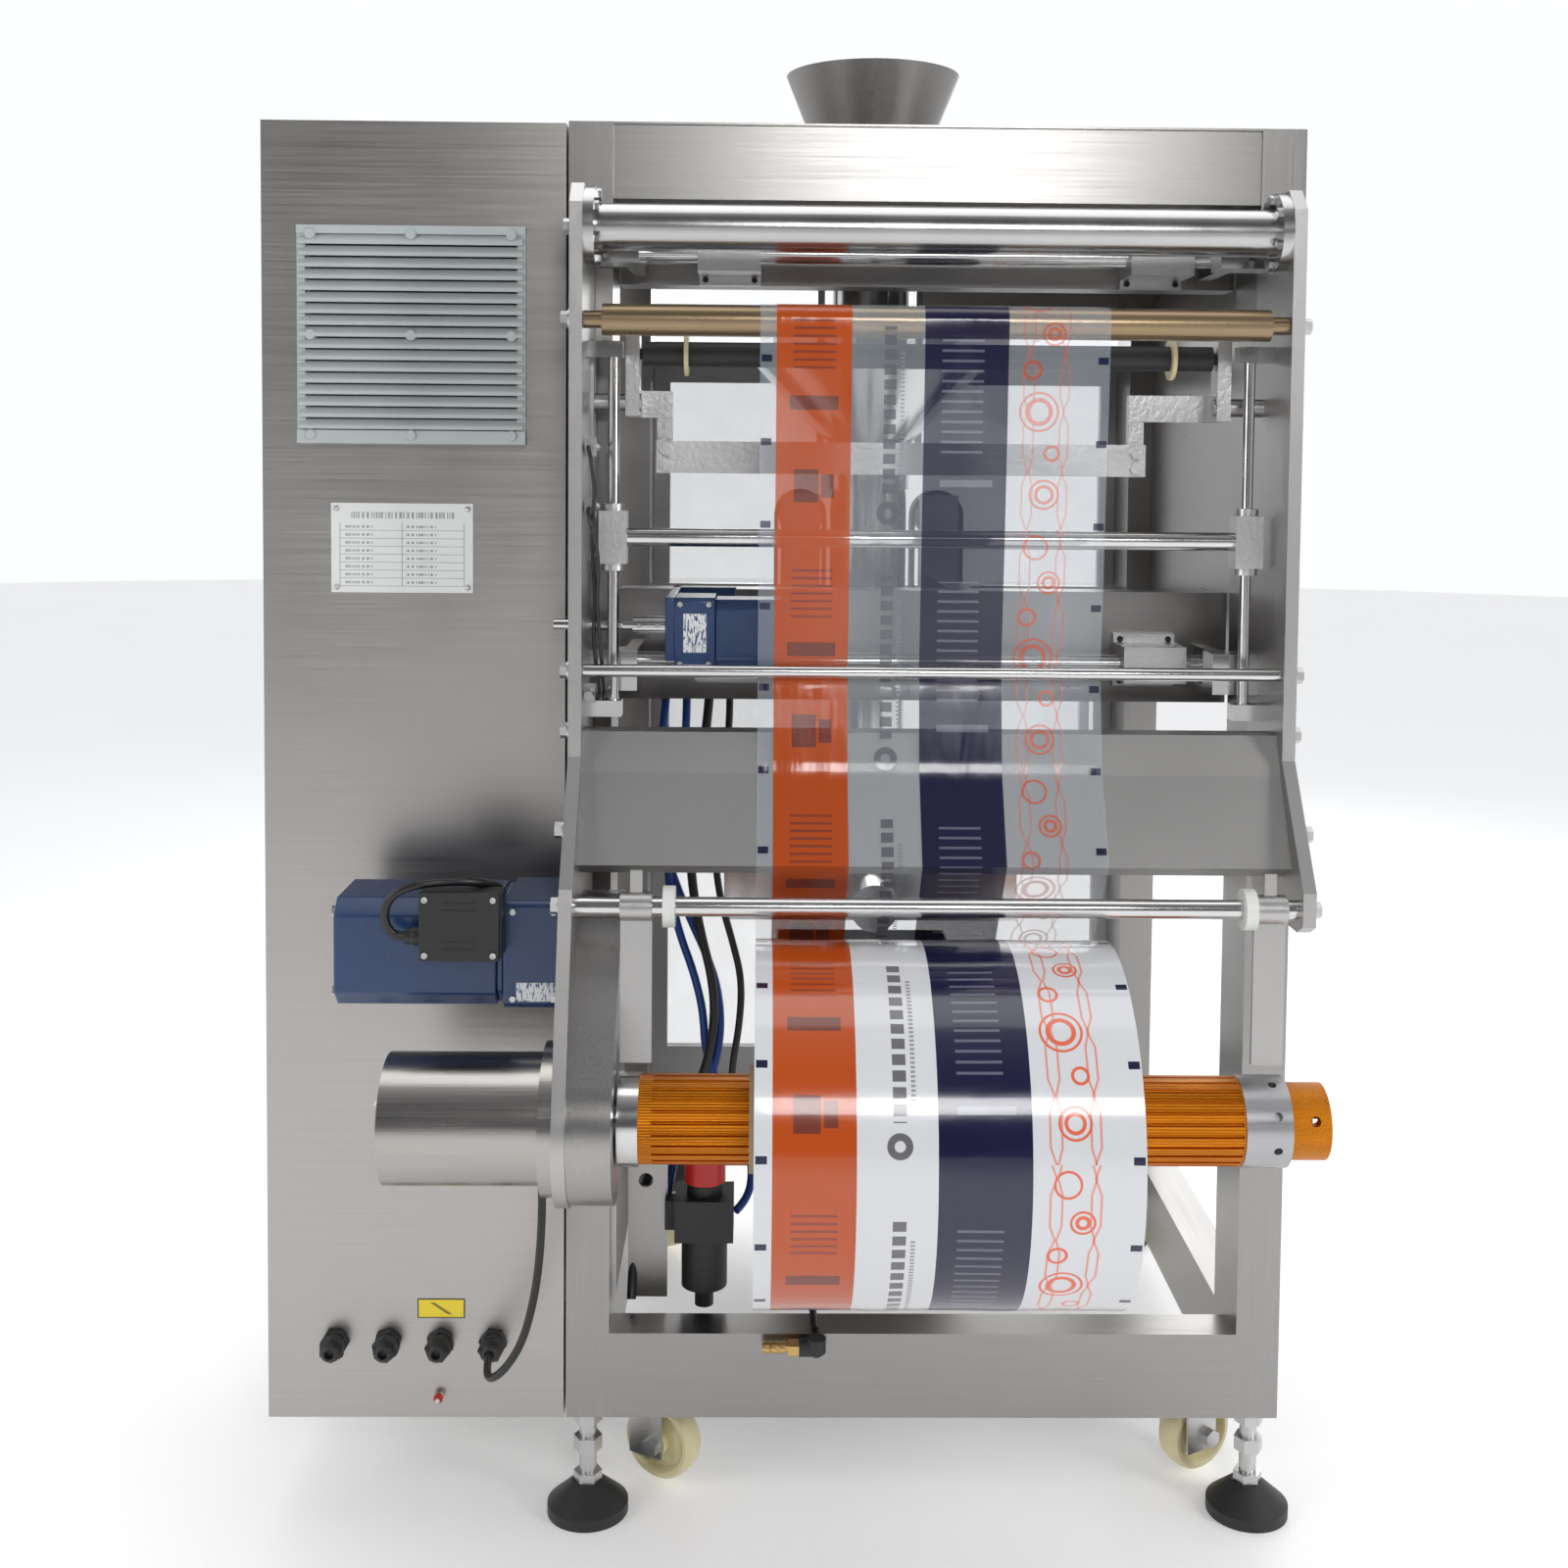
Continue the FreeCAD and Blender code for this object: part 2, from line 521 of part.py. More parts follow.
for i in range(8):
    angle = 45 * i + 20
    made = doc.addObject("Part::Cylinder", "Piece")
    made.Radius = 3.5
    made.Height = 12
    made.Placement = FreeCAD.Placement(
        FreeCAD.Vector(), FreeCAD.Rotation(FreeCAD.Vector(1, 0, 0), angle))
    turn = math.radians(angle)
    at(made, "598", f"shaft_y - {math.sin(turn):.5f} * (shaft_radius - 8)",
       f"shaft_z + {math.cos(turn):.5f} * (shaft_radius - 8)")
    ring_holes.append(made)
node("air_shaft", group(cut(fuse(shaft_bar, journal, collar), *grooves), *shaft_wheels,
                        cut(ring, *ring_holes)))
node("shaft_knob", cut(rod("x", "610", "shaft_y", "shaft_z", "31", "33"),
                       rod("x", "618", "shaft_y", "shaft_z", "22", "40"),
                       rod("y", "630", "shaft_y - 40", "shaft_z + 10", "4", "20")))
wound_film = cut(rod("x", "reel_left", "shaft_y", "shaft_z", "reel_radius", "reel_wide"),
                 rod("x", "reel_left - 1", "shaft_y", "shaft_z", "core_radius", "reel_wide + 2"))
reel_core = cut(rod("x", "reel_left - 4", "shaft_y", "shaft_z", "core_radius", "reel_wide + 8"),
                rod("x", "reel_left - 5", "shaft_y", "shaft_z", "shaft_radius", "reel_wide + 10"))
node("film_reel", group(wound_film, reel_core))

# ---------------------------------------------------------------- film web, from the reel to the former

wrap = number("gold_radius") + 1.4
wrap_points = [(number("gold_y") + wrap * math.cos(math.radians(turn)),
                number("gold_z") + wrap * math.sin(math.radians(turn))) for turn in (178, 150, 120, 88)]
FILM_PATH = [(-61, 549), (-152, 652.5), (-114.6, 724.2), (-97.8, 790), (-97.6, 822),
             *wrap_points, (330, 1118)]
spans = []
slopes = [math.atan2(z2 - z1, y2 - y1) for (y1, z1), (y2, z2) in zip(FILM_PATH, FILM_PATH[1:])]
turns = [0] + [two - one for one, two in zip(slopes, slopes[1:])] + [0]
for i, slope in enumerate(slopes):
    (y1, z1), (y2, z2) = FILM_PATH[i:i + 2]
    first, last = [DIMENSIONS["film_thick"] * abs(math.tan(turn / 2)) for turn in turns[i:i + 2]]
    strip = named("Part::Box", Length="reel_wide", Height="film_thick",
                  Width=f"{math.hypot(y2 - y1, z2 - z1) - first - last:.3f}")
    strip.Placement = FreeCAD.Placement(
        FreeCAD.Vector(), FreeCAD.Rotation(FreeCAD.Vector(1, 0, 0), math.degrees(slope)))
    spans.append(at(strip, "reel_left", f"{y1 + first * math.cos(slope):.3f}",
                    f"{z1 + first * math.sin(slope):.3f}"))
node("film_web", group(*spans))

# ---------------------------------------------------------------- swing arms on the low rod

for side, x in (("left", "62"), ("right", "584")):
    hub = rod("x", x, "low_rod_y", "low_rod_z", "12", "26")
    strap = box(x, "low_rod_y - 2", "493", "26", "5", "low_rod_z - 493")
    ear = box(f"{x} + 8", "low_rod_y - 2", "low_rod_z", "10", "6", "30")
    node(f"swing_arm_{side}", cut(fuse(hub, strap, ear), rod(
        "x", f"{x} - 1", "low_rod_y", "low_rod_z", "low_rod_radius + run_gap", "28")))

# ---------------------------------------------------------------- web tracking drive

node("tracking_motor", fuse(
    box("100", "track_y - 32", "track_z - 37", "36", "64", "64"),
    box("136", "track_y - 30", "track_z - 35", "60", "60", "60"),
    box("92", "track_y - 32", "track_z - 29", "8", "beam_y - track_y + 32", "56"),
    box("92", "beam_y - 24", "track_z - 9", "60", "24", "36")))
node("tracking_screw", fuse(rod("x", "-8", "track_y", "track_z", "5", "99.5"),
                            rod("x", "62", "track_y", "track_z", "8", "29.5")))

# ---------------------------------------------------------------- compressed air

filter_bracket = cut(box("52", "74", "frame_low + rail_tall", "38", "4", "136"),
                     rod("y", "69", "70", "295", "7", "12"))
regulator = fuse(box("98", "44", "246", "56", "50", "40"), rod("z", "126", "69", "196", "22", "52"),
                 box("88", "60", "252", "12", "18", "28"), rod("z", "126", "69", "284", "17", "12"),
                 rod("z", "126", "69", "176", "9", "22"))
node("regulator_knob", cut(rod("z", "126", "69", "298", "20", "26"), rod("z", "126", "69", "290", "8", "16")))
elbow = fuse(rod("z", "232", "-10", "168", "9", "13"), rod("x", "216", "-10", "172", "8", "16"),
             rod("y", "232", "-14", "172", "8", "14"))
tail = fuse(hexagon("x", "206", "-10", "172", "8.5", "10"),
            *[cone("x", x, "-10", "172", "4", "6", "7") for x in ("182", "189", "196")],
            rod("x", "196", "-10", "172", "4.5", "12"))
node("air_service_set", group(filter_bracket, regulator, elbow, tail))

# ---------------------------------------------------------------- product funnel and film former

node("product_funnel", cut(
    fuse(cone("z", "former_x", "former_y", "former_top + 2", "former_radius + 16", "funnel_radius",
              "funnel_top - former_top - 2"),
         rod("z", "former_x", "former_y", "frame_high + 2", "former_radius + 16", "former_top - frame_high")),
    cone("z", "former_x", "former_y", "former_top + 2", "former_radius", "funnel_radius - 2",
         "funnel_top - former_top - 1.9"),
    rod("z", "former_x", "former_y", "frame_high", "former_radius + 0.2", "former_top - frame_high + 3")))
forming_tube = tube("z", "former_x", "former_y", "640", "former_radius", "2", "former_top - 640")
shoulder = cut(
    cone("z", "former_x", "former_y", "1010", "former_radius + 2.5", "140", "100"),
    cone("z", "former_x", "former_y", "1009.5", "former_radius + 0.5", "138.5", "101"),
    box("former_x - 200", "former_y + 20", "1000", "400", "200", "120"))
sleeve = cut(rod("z", "former_x", "former_y", "960", "former_radius + 3", "52"),
             rod("z", "former_x", "former_y", "950", "former_radius + 0.8", "80"))
hanger = cut(box("former_x - 60", "130", "1228", "120", "former_y - 60", "10"),
             rod("z", "former_x", "former_y", "1220", "former_radius", "30"))
struts = [box(x, "former_y - 6", "1002", "8", "12", "230") for x in ("former_x - 60", "former_x + 52")]
collar_piece = fuse(shoulder, sleeve)
former_bracket = cut(fuse(hanger, *struts, box("former_x - 60", "former_y - 6", "985", "120", "12", "20")),
                     rod("z", "former_x", "former_y", "980", "former_radius + 3", "30"))
node("forming_set", group(forming_tube, collar_piece, former_bracket))

# ---------------------------------------------------------------- film pull belts

BELT_REACH = 78
for side, sign in (("left", -1), ("right", 1)):
    centre = f"former_x {'-' if sign < 0 else '+'} {BELT_REACH}"
    pulley = cut(rod("y", centre, "former_y - 20", "930", "25", "40"),
                 rod("y", centre, "former_y - 21", "930", "8 + run_gap", "42"))
    node(f"belt_pulley_{side}", pulley)
belts = []
for sign in (-1, 1):
    centre = f"former_x {'-' if sign < 0 else '+'} {BELT_REACH}"
    outer = fuse(rod("y", centre, "former_y - 20", "930", "29.5", "40"),
                 rod("y", centre, "former_y - 20", "780", "29.5", "40"),
                 box(f"{centre} - 29.5", "former_y - 20", "780", "59", "40", "150"))
    inner = fuse(rod("y", centre, "former_y - 21", "930", "25.5", "42"),
                 rod("y", centre, "former_y - 21", "780", "25.5", "42"),
                 box(f"{centre} - 25.5", "former_y - 21", "780", "51", "42", "150"))
    belts.append(cut(outer, inner))
carriers = []
for sign in (-1, 1):
    centre = f"former_x {'-' if sign < 0 else '+'} {BELT_REACH}"
    carriers.append(fuse(
        box(f"{centre} - 22", "former_y - 36", "760", "44", "12", "194"),
        rod("y", centre, "former_y - 26", "930", "8", "46"),
        rod("y", centre, "former_y - 26", "780", "25", "46"),
        box(f"{centre} - 12", "130", "840", "24", "former_y - 160", "24")))
node("pull_belts", group(*belts, *carriers))

# ---------------------------------------------------------------- seals

GUIDE_X = ("former_x - 130", "former_x + 130")
tie = box("former_x - 160", "310", "jaw_z - 30", "320", "12", "60")
front_tie = box("former_x - 160", "frame_deep - 62", "jaw_z - 30", "320", "12", "60")
cylinder = rod("y", "former_x", "240", "jaw_z", "25", "70")
nose = rod("y", "former_x", "322", "jaw_z", "8", "8")
guide_rods = [rod("y", x, "322", "jaw_z", "10", "frame_deep - 384") for x in GUIDE_X]
for label, y, face in (("jaw_rear", "former_y - 76", "former_y - 34"),
                       ("jaw_front", "former_y + 34", "former_y + 26")):
    carrier = box("former_x - 155", y, "jaw_z - 24", "310", "42", "48")
    bar = box("former_x - jaw_wide * 0.5", face, "jaw_z - 16", "jaw_wide", "8", "32")
    bores = [rod("y", x, f"{y} - 1", "jaw_z", "10 + run_gap", "44") for x in GUIDE_X]
    node(label, cut(fuse(carrier, bar), *bores))
node("vertical_sealer", fuse(box("former_x - 8", "former_y + former_radius + 6", "700", "16", "14", "240"),
                             box("former_x - 20", "former_y + former_radius + 20", "740", "40", "20", "160"),
                             rod("y", "former_x", "former_y + former_radius + 40", "820", "8", "30")))
sealer_cylinder = cut(rod("y", "former_x", "former_y + former_radius + 60", "820", "24", "46.5"),
                      rod("y", "former_x", "former_y + former_radius + 59", "820", "8 + run_gap", "40"))
sealer_beam = box("post_wide", "frame_deep - 60", "800", INNER_WIDE, "20", "40")
node("jaw_guides", group(tie, front_tie, cylinder, nose, *guide_rods, sealer_cylinder, sealer_beam))
chute = fuse(hollow_box("former_x - 100", "former_y - 70", "210", "200", "140", "220", "z"),
             box("former_x - 100", "former_y + 70", "380", "200", "frame_deep - former_y - 110", "3"),
             box("former_x - 100", "frame_deep - 43", "frame_low + rail_tall", "200", "3", "203"))
node("discharge_chute", chute)

# ---------------------------------------------------------------- operator side

door_low = "200"
DOOR_TALL = "930"
door_ring = cut(box("20", "frame_deep + 2", door_low, "624", "14", DOOR_TALL),
                box("60", "frame_deep + 1", "240", "544", "20", "850"))
window = box("60", "frame_deep + 6", "240", "544", "5", "850")
handle = fuse(box("590", "frame_deep + 16", "600", "12", "26", "12"),
              box("590", "frame_deep + 16", "748", "12", "26", "12"),
              box("590", "frame_deep + 34", "600", "12", "12", "160"))
hinges = [fuse(rod("z", "10", "frame_deep + 9", z, "7", "60"),
               box("10", "frame_deep + 6", z, "12", "6", "60"))
          for z in ("300", "960")]
node("guard_door", group(fuse(door_ring, handle, *hinges), window))
node("operator_box", cut(
    fuse(box("370", "frame_deep", "1160", "270", "52", "126"),
         box("386", "frame_deep + 52", "1174", "140", "3", "96")),
    *[rod("y", x, "frame_deep + 38", "1245", "6 + run_gap", "20") for x in ("560", "600")]))


def panel_button(label, x, z, head, tall):
    """A push button whose stem runs in a short collar of the operator box."""
    return node(label, fuse(rod("y", x, "frame_deep + 59", z, head, tall),
                            rod("y", x, "frame_deep + 45", z, "6", "14")))


panel_button("emergency_stop", "600", "1245", "18", "18")
panel_button("start_button", "560", "1245", "11", "8")
node("main_switch", fuse(rod("y", "580", "frame_deep + 52.2", "1192", "20", "6"),
                         box("575", "frame_deep + 58", "1176", "10", "12", "32")))
barrels = [rod("z", "cab_left + 6", "cab_deep + 21", z, "6", "70") for z in ("240", "1060")]
node("cabinet_door", fuse(box("cab_left", "cab_deep + 1", "frame_low", CAB_WIDE, "18", POST_TALL),
                          box("cab_left + 240", "cab_deep + 19", "680", "18", "16", "110"), *barrels))

# ---------------------------------------------------------------- brake lead

LEAD_RADIUS = 3.6


def smooth_tube(points, radius):
    """A round lead along straight runs that tangent arcs join."""
    vectors = [FreeCAD.Vector(*p) for p in points]
    edges = []
    start = vectors[0]
    for before, here, after in zip(vectors, vectors[1:], vectors[2:]):
        one = (before - here).normalize()
        two = (after - here).normalize()
        turn = math.pi - one.getAngle(two)
        short = min((before - here).Length, (after - here).Length)
        back = 0.45 * short
        bend = back / math.tan(turn / 2)
        print(f"lead bend radius {bend:.1f}")
        first = here + one * back
        last = here + two * back
        middle_way = (one + two).normalize()
        middle = here + middle_way * (math.hypot(bend, back) - bend)
        edges.append(Part.LineSegment(start, first).toShape())
        edges.append(Part.Arc(first, middle, last).toShape())
        start = last
    edges.append(Part.LineSegment(start, vectors[-1]).toShape())
    path = Part.Wire(edges)
    heading = vectors[1] - vectors[0]
    section = Part.Wire(Part.Circle(vectors[0], heading, radius).toShape())
    solid = path.makePipeShell([section], True, False)
    print(f"lead volume {solid.Volume:.0f}, section by length {math.pi * radius ** 2 * path.Length:.0f}, "
          f"length {path.Length:.0f}")
    return solid


GLAND_END = number("gland_first") + 3 * number("gland_pitch")
LEAD_ROUTE = [
    (GLAND_END, -27, 172), (GLAND_END + 1, -52, 169), (GLAND_END + 9, -70, 172), (GLAND_END + 24, -80, 189),
    (GLAND_END + 38, -86, 214), (GLAND_END + 47, -89, 246), (GLAND_END + 53, -90, 282),
    (GLAND_END + 56, -89, 330), (GLAND_END + 55, -88, 385), (GLAND_END + 54, -88, 433),
    (GLAND_END + 54, -101, 446.5), (GLAND_END + 54, -117.2, 446.5)]
lead = doc.addObject("Part::Feature", "Piece")
lead.Shape = smooth_tube(LEAD_ROUTE, LEAD_RADIUS)
node("brake_lead", group(lead))

# ---------------------------------------------------------------- write the parts

doc.recompute()
failed = [o.Label for o in doc.Objects if "Invalid" in o.State or "Error" in o.State]
for made in NODES:
    if made.Shape.isNull() or not made.Shape.isValid():
        failed.append(made.Label)
if failed:
    raise RuntimeError(f"these objects failed: {failed}")
os.makedirs("parts", exist_ok=True)
whole = FreeCAD.BoundBox()
for made in NODES:
    made.Shape.exportStep(f"parts/{made.Label}.step")
    whole.add(made.Shape.BoundBox)
    print(made.Label, len(made.Shape.Solids), round(made.Shape.Volume / 1000))
print(len(NODES), "nodes", whole)
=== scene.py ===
import math

import bmesh
import bpy
from mathutils import Matrix, Vector


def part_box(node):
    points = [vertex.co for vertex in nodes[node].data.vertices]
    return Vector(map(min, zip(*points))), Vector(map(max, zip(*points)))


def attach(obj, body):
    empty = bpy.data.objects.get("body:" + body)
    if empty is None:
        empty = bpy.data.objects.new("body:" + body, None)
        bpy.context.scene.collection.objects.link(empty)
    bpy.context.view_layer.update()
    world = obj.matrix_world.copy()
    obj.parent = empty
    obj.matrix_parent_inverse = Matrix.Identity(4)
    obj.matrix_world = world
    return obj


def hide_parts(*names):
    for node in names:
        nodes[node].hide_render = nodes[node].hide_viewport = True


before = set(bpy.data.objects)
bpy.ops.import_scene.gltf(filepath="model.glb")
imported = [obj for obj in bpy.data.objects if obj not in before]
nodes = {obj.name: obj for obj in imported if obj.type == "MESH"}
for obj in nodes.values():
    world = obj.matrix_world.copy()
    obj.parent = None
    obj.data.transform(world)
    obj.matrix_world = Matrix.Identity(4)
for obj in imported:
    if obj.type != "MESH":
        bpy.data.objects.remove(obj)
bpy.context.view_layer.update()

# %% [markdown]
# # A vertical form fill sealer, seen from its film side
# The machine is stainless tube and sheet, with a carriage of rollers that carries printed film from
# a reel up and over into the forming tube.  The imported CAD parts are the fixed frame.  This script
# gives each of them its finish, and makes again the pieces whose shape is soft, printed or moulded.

# %% [markdown]
# ## Writing shader maths as Python
# A finish is a small network of nodes.  Wrapping a socket in a class that knows + - * lets a
# mask be written as an expression, and each expression adds its own Math node.

# %% A socket that does sums, and a finish that holds its nodes
class Value:
    """A socket's value, to use in expressions."""

    def __init__(self, finish, socket):
        self.finish = finish
        self.socket = socket

    def math(self, operation, *others):
        return self.finish.add("ShaderNodeMath", {"operation": operation}, dict(enumerate((self, *others))))

    def __add__(self, other):
        return self.math("ADD", other)

    def __sub__(self, other):
        return self.math("SUBTRACT", other)

    def __mul__(self, other):
        return self.math("MULTIPLY", other)

    def above(self, level):
        """1 where the value is over a level."""
        return self.math("GREATER_THAN", level)

    def below(self, level):
        """1 where the value is under a level."""
        return self.math("LESS_THAN", level)

    def repeat(self, pitch):
        """The value counted again from 0 after each pitch."""
        return self.math("FLOORED_MODULO", pitch)

    def size(self):
        return self.math("ABSOLUTE")

    def capped(self):
        """The value, but never more than 1."""
        return self.math("MINIMUM", 1.0)


class Finish:
    """A material and the nodes that make it."""

    def __init__(self, name):
        self.material = bpy.data.materials.new(name)
        self.material.use_nodes = True
        self.tree = self.material.node_tree
        self.shader = self.tree.nodes["Principled BSDF"]

    def feed(self, socket, value):
        if isinstance(value, Value):
            self.tree.links.new(value.socket, socket)
        else:
            socket.default_value = value

    def add(self, kind, settings=None, values=None, out=0):
        """A node of any type: its settings first, then the values of its sockets."""
        made = self.tree.nodes.new(kind)
        for key, value in (settings or {}).items():
            setattr(made, key, value)
        for key, value in (values or {}).items():
            self.feed(made.inputs[key], value)
        return Value(self, made.outputs[out])

    def place(self):
        """A point's place on its own piece, in metres."""
        return self.add("ShaderNodeTexCoord", out=3)

    def uv(self):
        """Two values laid on a mesh: across and along."""
        laid = self.add("ShaderNodeTexCoord", out=2)
        return tuple(self.part(laid, i) for i in (0, 1))

    def part(self, vector, index):
        return self.add("ShaderNodeSeparateXYZ", None, {0: vector}, out=index)

    def noise(self, scale, detail=3.0, stretch=(1, 1, 1), place=None):
        """Soft random grain, stretched along an axis by a small number there."""
        laid = self.add("ShaderNodeVectorMath", {"operation": "MULTIPLY"},
                        {0: place or self.place(), 1: stretch})
        return self.add("ShaderNodeTexNoise", None, {"Vector": laid, "Scale": scale, "Detail": detail})

    def mix(self, factor, one, two):
        """A colour between two colours."""
        made = self.tree.nodes.new("ShaderNodeMix")
        made.data_type = "RGBA"
        self.feed(made.inputs[0], factor)
        self.feed(made.inputs[6], one)
        self.feed(made.inputs[7], two)
        return Value(self, made.outputs[2])

    def bump(self, height, distance, strength=0.5):
        return self.add("ShaderNodeBump", None,
                        {"Height": height, "Distance": distance, "Strength": strength})

    def grain_along(self, value, scale, detail=2.0):
        """Random bands along one value."""
        return self.add("ShaderNodeTexNoise", {"noise_dimensions": "1D"},
                        {"W": value, "Scale": scale, "Detail": detail})

    def set(self, **inputs):
        """Set or link the main shader's sockets, with words joined by underscores."""
        for key, value in inputs.items():
            self.feed(self.shader.inputs[key.replace("_", " ")], value)
        return self.material


def grey(level, warm=0.0):
    """An opaque grey, or one that leans to red by the share warm."""
    return (level * (1 + warm), level, level * (1 - warm), 1)


def scaled(colour, share):
    """An opaque colour, darker or lighter by a share."""
    return (*(c * share for c in colour), 1)


def total(values):
    result = values[0]
    for value in values[1:]:
        result = result + value
    return result


# %% [markdown]
# ## Metal finishes
# Brushed sheet scatters light along one direction.  Noise that is stretched some eighty times along
# the brushing gives the hairlines, and larger, fainter noise gives the handling marks.

# %% Brushed, blasted, plated and anodised metal
GRAIN = {"x": (0.012, 1, 1), "y": (1, 0.012, 1), "z": (1, 1, 0.012)}


def brushed(name, along, tone=0.4, rough=0.3, warm=0.03):
    """Sheet with hairlines along x, y or z."""
    f = Finish(name)
    hair = f.noise(520, 4, GRAIN[along])
    marks = f.noise(7, 5)
    colour = f.mix(hair * 0.55 + marks * 0.45, grey(tone * 0.82, warm), grey(tone * 1.16, warm))
    return f.set(Base_Color=colour, Metallic=1.0, Roughness=hair * 0.16 + marks * 0.12 + (rough - 0.12),
                 Normal=f.bump(hair, 0.00012, 0.35))


def blasted(name, tone=0.5, rough=0.48):
    """Steel with the fine sparkle of bead blasting."""
    f = Finish(name)
    grit = f.noise(2600, 2)
    cloud = f.noise(9, 4)
    return f.set(Base_Color=f.mix(grit * 0.6 + cloud * 0.4, grey(tone * 0.8, 0.02), grey(tone * 1.25, 0.02)),
                 Metallic=1.0, Roughness=grit * 0.2 + (rough - 0.1), Normal=f.bump(grit, 0.0002, 0.5))


def plated(name, tone=0.66, rough=0.12, along="x"):
    """Ground and plated bar: bright, with faint drawing lines."""
    f = Finish(name)
    lines = f.noise(300, 3, GRAIN[along])
    smear = f.noise(22, 5)
    return f.set(Base_Color=f.mix(smear, grey(tone * 0.86, 0.01), grey(tone, 0.01)), Metallic=1.0,
                 Roughness=lines * 0.08 + smear * 0.14 + (rough - 0.06), Normal=f.bump(lines, 0.00006, 0.3))


def anodised(name, colour, rough=0.3, along="x"):
    """Dyed anodised aluminium with drawing lines."""
    f = Finish(name)
    lines = f.noise(260, 4, GRAIN[along])
    blotch = f.noise(35, 4)
    colour = f.mix(lines * 0.6 + blotch * 0.4, scaled(colour, 0.72), scaled(colour, 1))
    return f.set(Base_Color=colour, Metallic=0.85,
                 Roughness=lines * 0.2 + (rough - 0.08), Normal=f.bump(lines, 0.0001, 0.4))


frame_steel = {axis: brushed(f"frame_steel_{axis}", axis, 0.33) for axis in "xyz"}
cabinet_steel = brushed("cabinet_steel", "x", 0.43, 0.33, 0.045)
plate_steel = blasted("plate_steel", 0.44, 0.34)
panel_steel = blasted("panel_steel", 0.29, 0.5)
bar_chrome = plated("bar_chrome")
post_chrome = plated("post_chrome", along="z")
zinc = plated("zinc", 0.62, 0.3)
bronze = anodised("bronze", (0.34, 0.25, 0.15), 0.26)
silver = anodised("silver", (0.5, 0.5, 0.51), 0.32)
brass = anodised("brass", (0.72, 0.48, 0.18), 0.28)
print("metal finishes made")

# %% [markdown]
# ## Paint, plastic and rubber

# %% Enamel, moulded plastic, rubber and clear sheet
def enamel(name, colour, rough=0.34):
    """Spray enamel with orange peel and a clear gloss."""
    f = Finish(name)
    peel = f.noise(700, 3)
    dust = f.noise(160, 6)
    light = (*(min(1, c * 1.5 + 0.01) for c in colour), 1)
    return f.set(Base_Color=f.mix(dust * 0.7, scaled(colour, 1), light), Coat_Weight=0.3,
                 Roughness=dust * 0.25 + (rough - 0.1), Normal=f.bump(peel, 0.0003, 0.35))


def moulded(name, colour, rough=0.5, grain=900):
    """Moulded plastic with a fine spark-eroded texture."""
    f = Finish(name)
    skin = f.noise(grain, 3)
    worn = f.noise(14, 4)
    return f.set(Base_Color=f.mix(worn, scaled(colour, 0.8), scaled(colour, 1)),
                 Roughness=skin * 0.15 + worn * 0.1 + (rough - 0.12), Normal=f.bump(skin, 0.00015, 0.4))


def clear_sheet(name):
    """Polycarbonate pane, faintly smoked and scratched."""
    f = Finish(name)
    haze = f.noise(30, 6)
    f.material.surface_render_method = "BLENDED"
    return f.set(Base_Color=(0.75, 0.8, 0.82, 1), Roughness=haze * 0.1 + 0.04, Alpha=haze * 0.08 + 0.16)


BLUE_PAINT = (0.006, 0.028, 0.095)
blue = enamel("blue_enamel", BLUE_PAINT)
black = moulded("black_nylon", (0.022, 0.022, 0.024), 0.5)
lead_black = moulded("lead_black", (0.012, 0.012, 0.013), 0.34, 400)
vent_grey = moulded("vent_grey", (0.46, 0.5, 0.5), 0.5)
cream = moulded("cream_nylon", (0.78, 0.7, 0.42), 0.35)
white_nylon = moulded("white_nylon", (0.74, 0.76, 0.72), 0.4)
dark_rubber = moulded("dark_rubber", (0.03, 0.03, 0.03), 0.55)
red = moulded("red_knob", (0.6, 0.015, 0.01), 0.3)
green = moulded("green_knob", (0.02, 0.32, 0.08), 0.3)
card = moulded("reel_card", (0.42, 0.3, 0.18), 0.8)
pane = clear_sheet("guard_pane")
print("plastics and paint made")

# %% [markdown]
# ## Giving each CAD part its finish
# A part that was made as several solids can wear more than one finish.  Faces are sorted by the
# joined island that they belong to, or by their place.  Only their material number changes, never
# the mesh.

# %% Finish for each node
def wear(name, material):
    """The whole node in one finish."""
    slots = nodes[name].data.materials
    slots.clear()
    slots.append(material)


def islands(obj):
    """Lists of faces that hang together, each with its lowest and highest corner."""
    mesh = obj.data
    parent = {}
    key = {v.index: tuple(round(c, 5) for c in v.co) for v in mesh.vertices}

    def root(a):
        while parent.setdefault(a, a) != a:
            parent[a] = parent[parent[a]]
            a = parent[a]
        return a

    for face in mesh.polygons:
        first = root(key[face.vertices[0]])
        for other in face.vertices[1:]:
            parent[root(key[other])] = first
    found = {}
    for face in mesh.polygons:
        found.setdefault(root(key[face.vertices[0]]), []).append(face.index)
    result = []
    for faces in found.values():
        points = [mesh.vertices[i].co for f in faces for i in mesh.polygons[f].vertices]
        low = Vector(min(p[i] for p in points) for i in range(3))
        high = Vector(max(p[i] for p in points) for i in range(3))
        result.append((faces, low, high))
    return result


def wear_longest(name, materials):
    """Each separate solid wears the finish brushed along its longest side."""
    obj = nodes[name]
    obj.data.materials.clear()
    for axis in "xyz":
        obj.data.materials.append(materials[axis])
    for faces, low, high in islands(obj):
        extent = high - low
        index = max(range(3), key=lambda i: extent[i])
        for face in faces:
            obj.data.polygons[face].material_index = index


def touch_up(name, *rules):
    """Give faces another finish where a rule on their centre holds."""
    obj = nodes[name]
    for rule, material in rules:
        obj.data.materials.append(material)
        index = len(obj.data.materials) - 1
        for face in obj.data.polygons:
            if rule(face.center):
                face.material_index = index


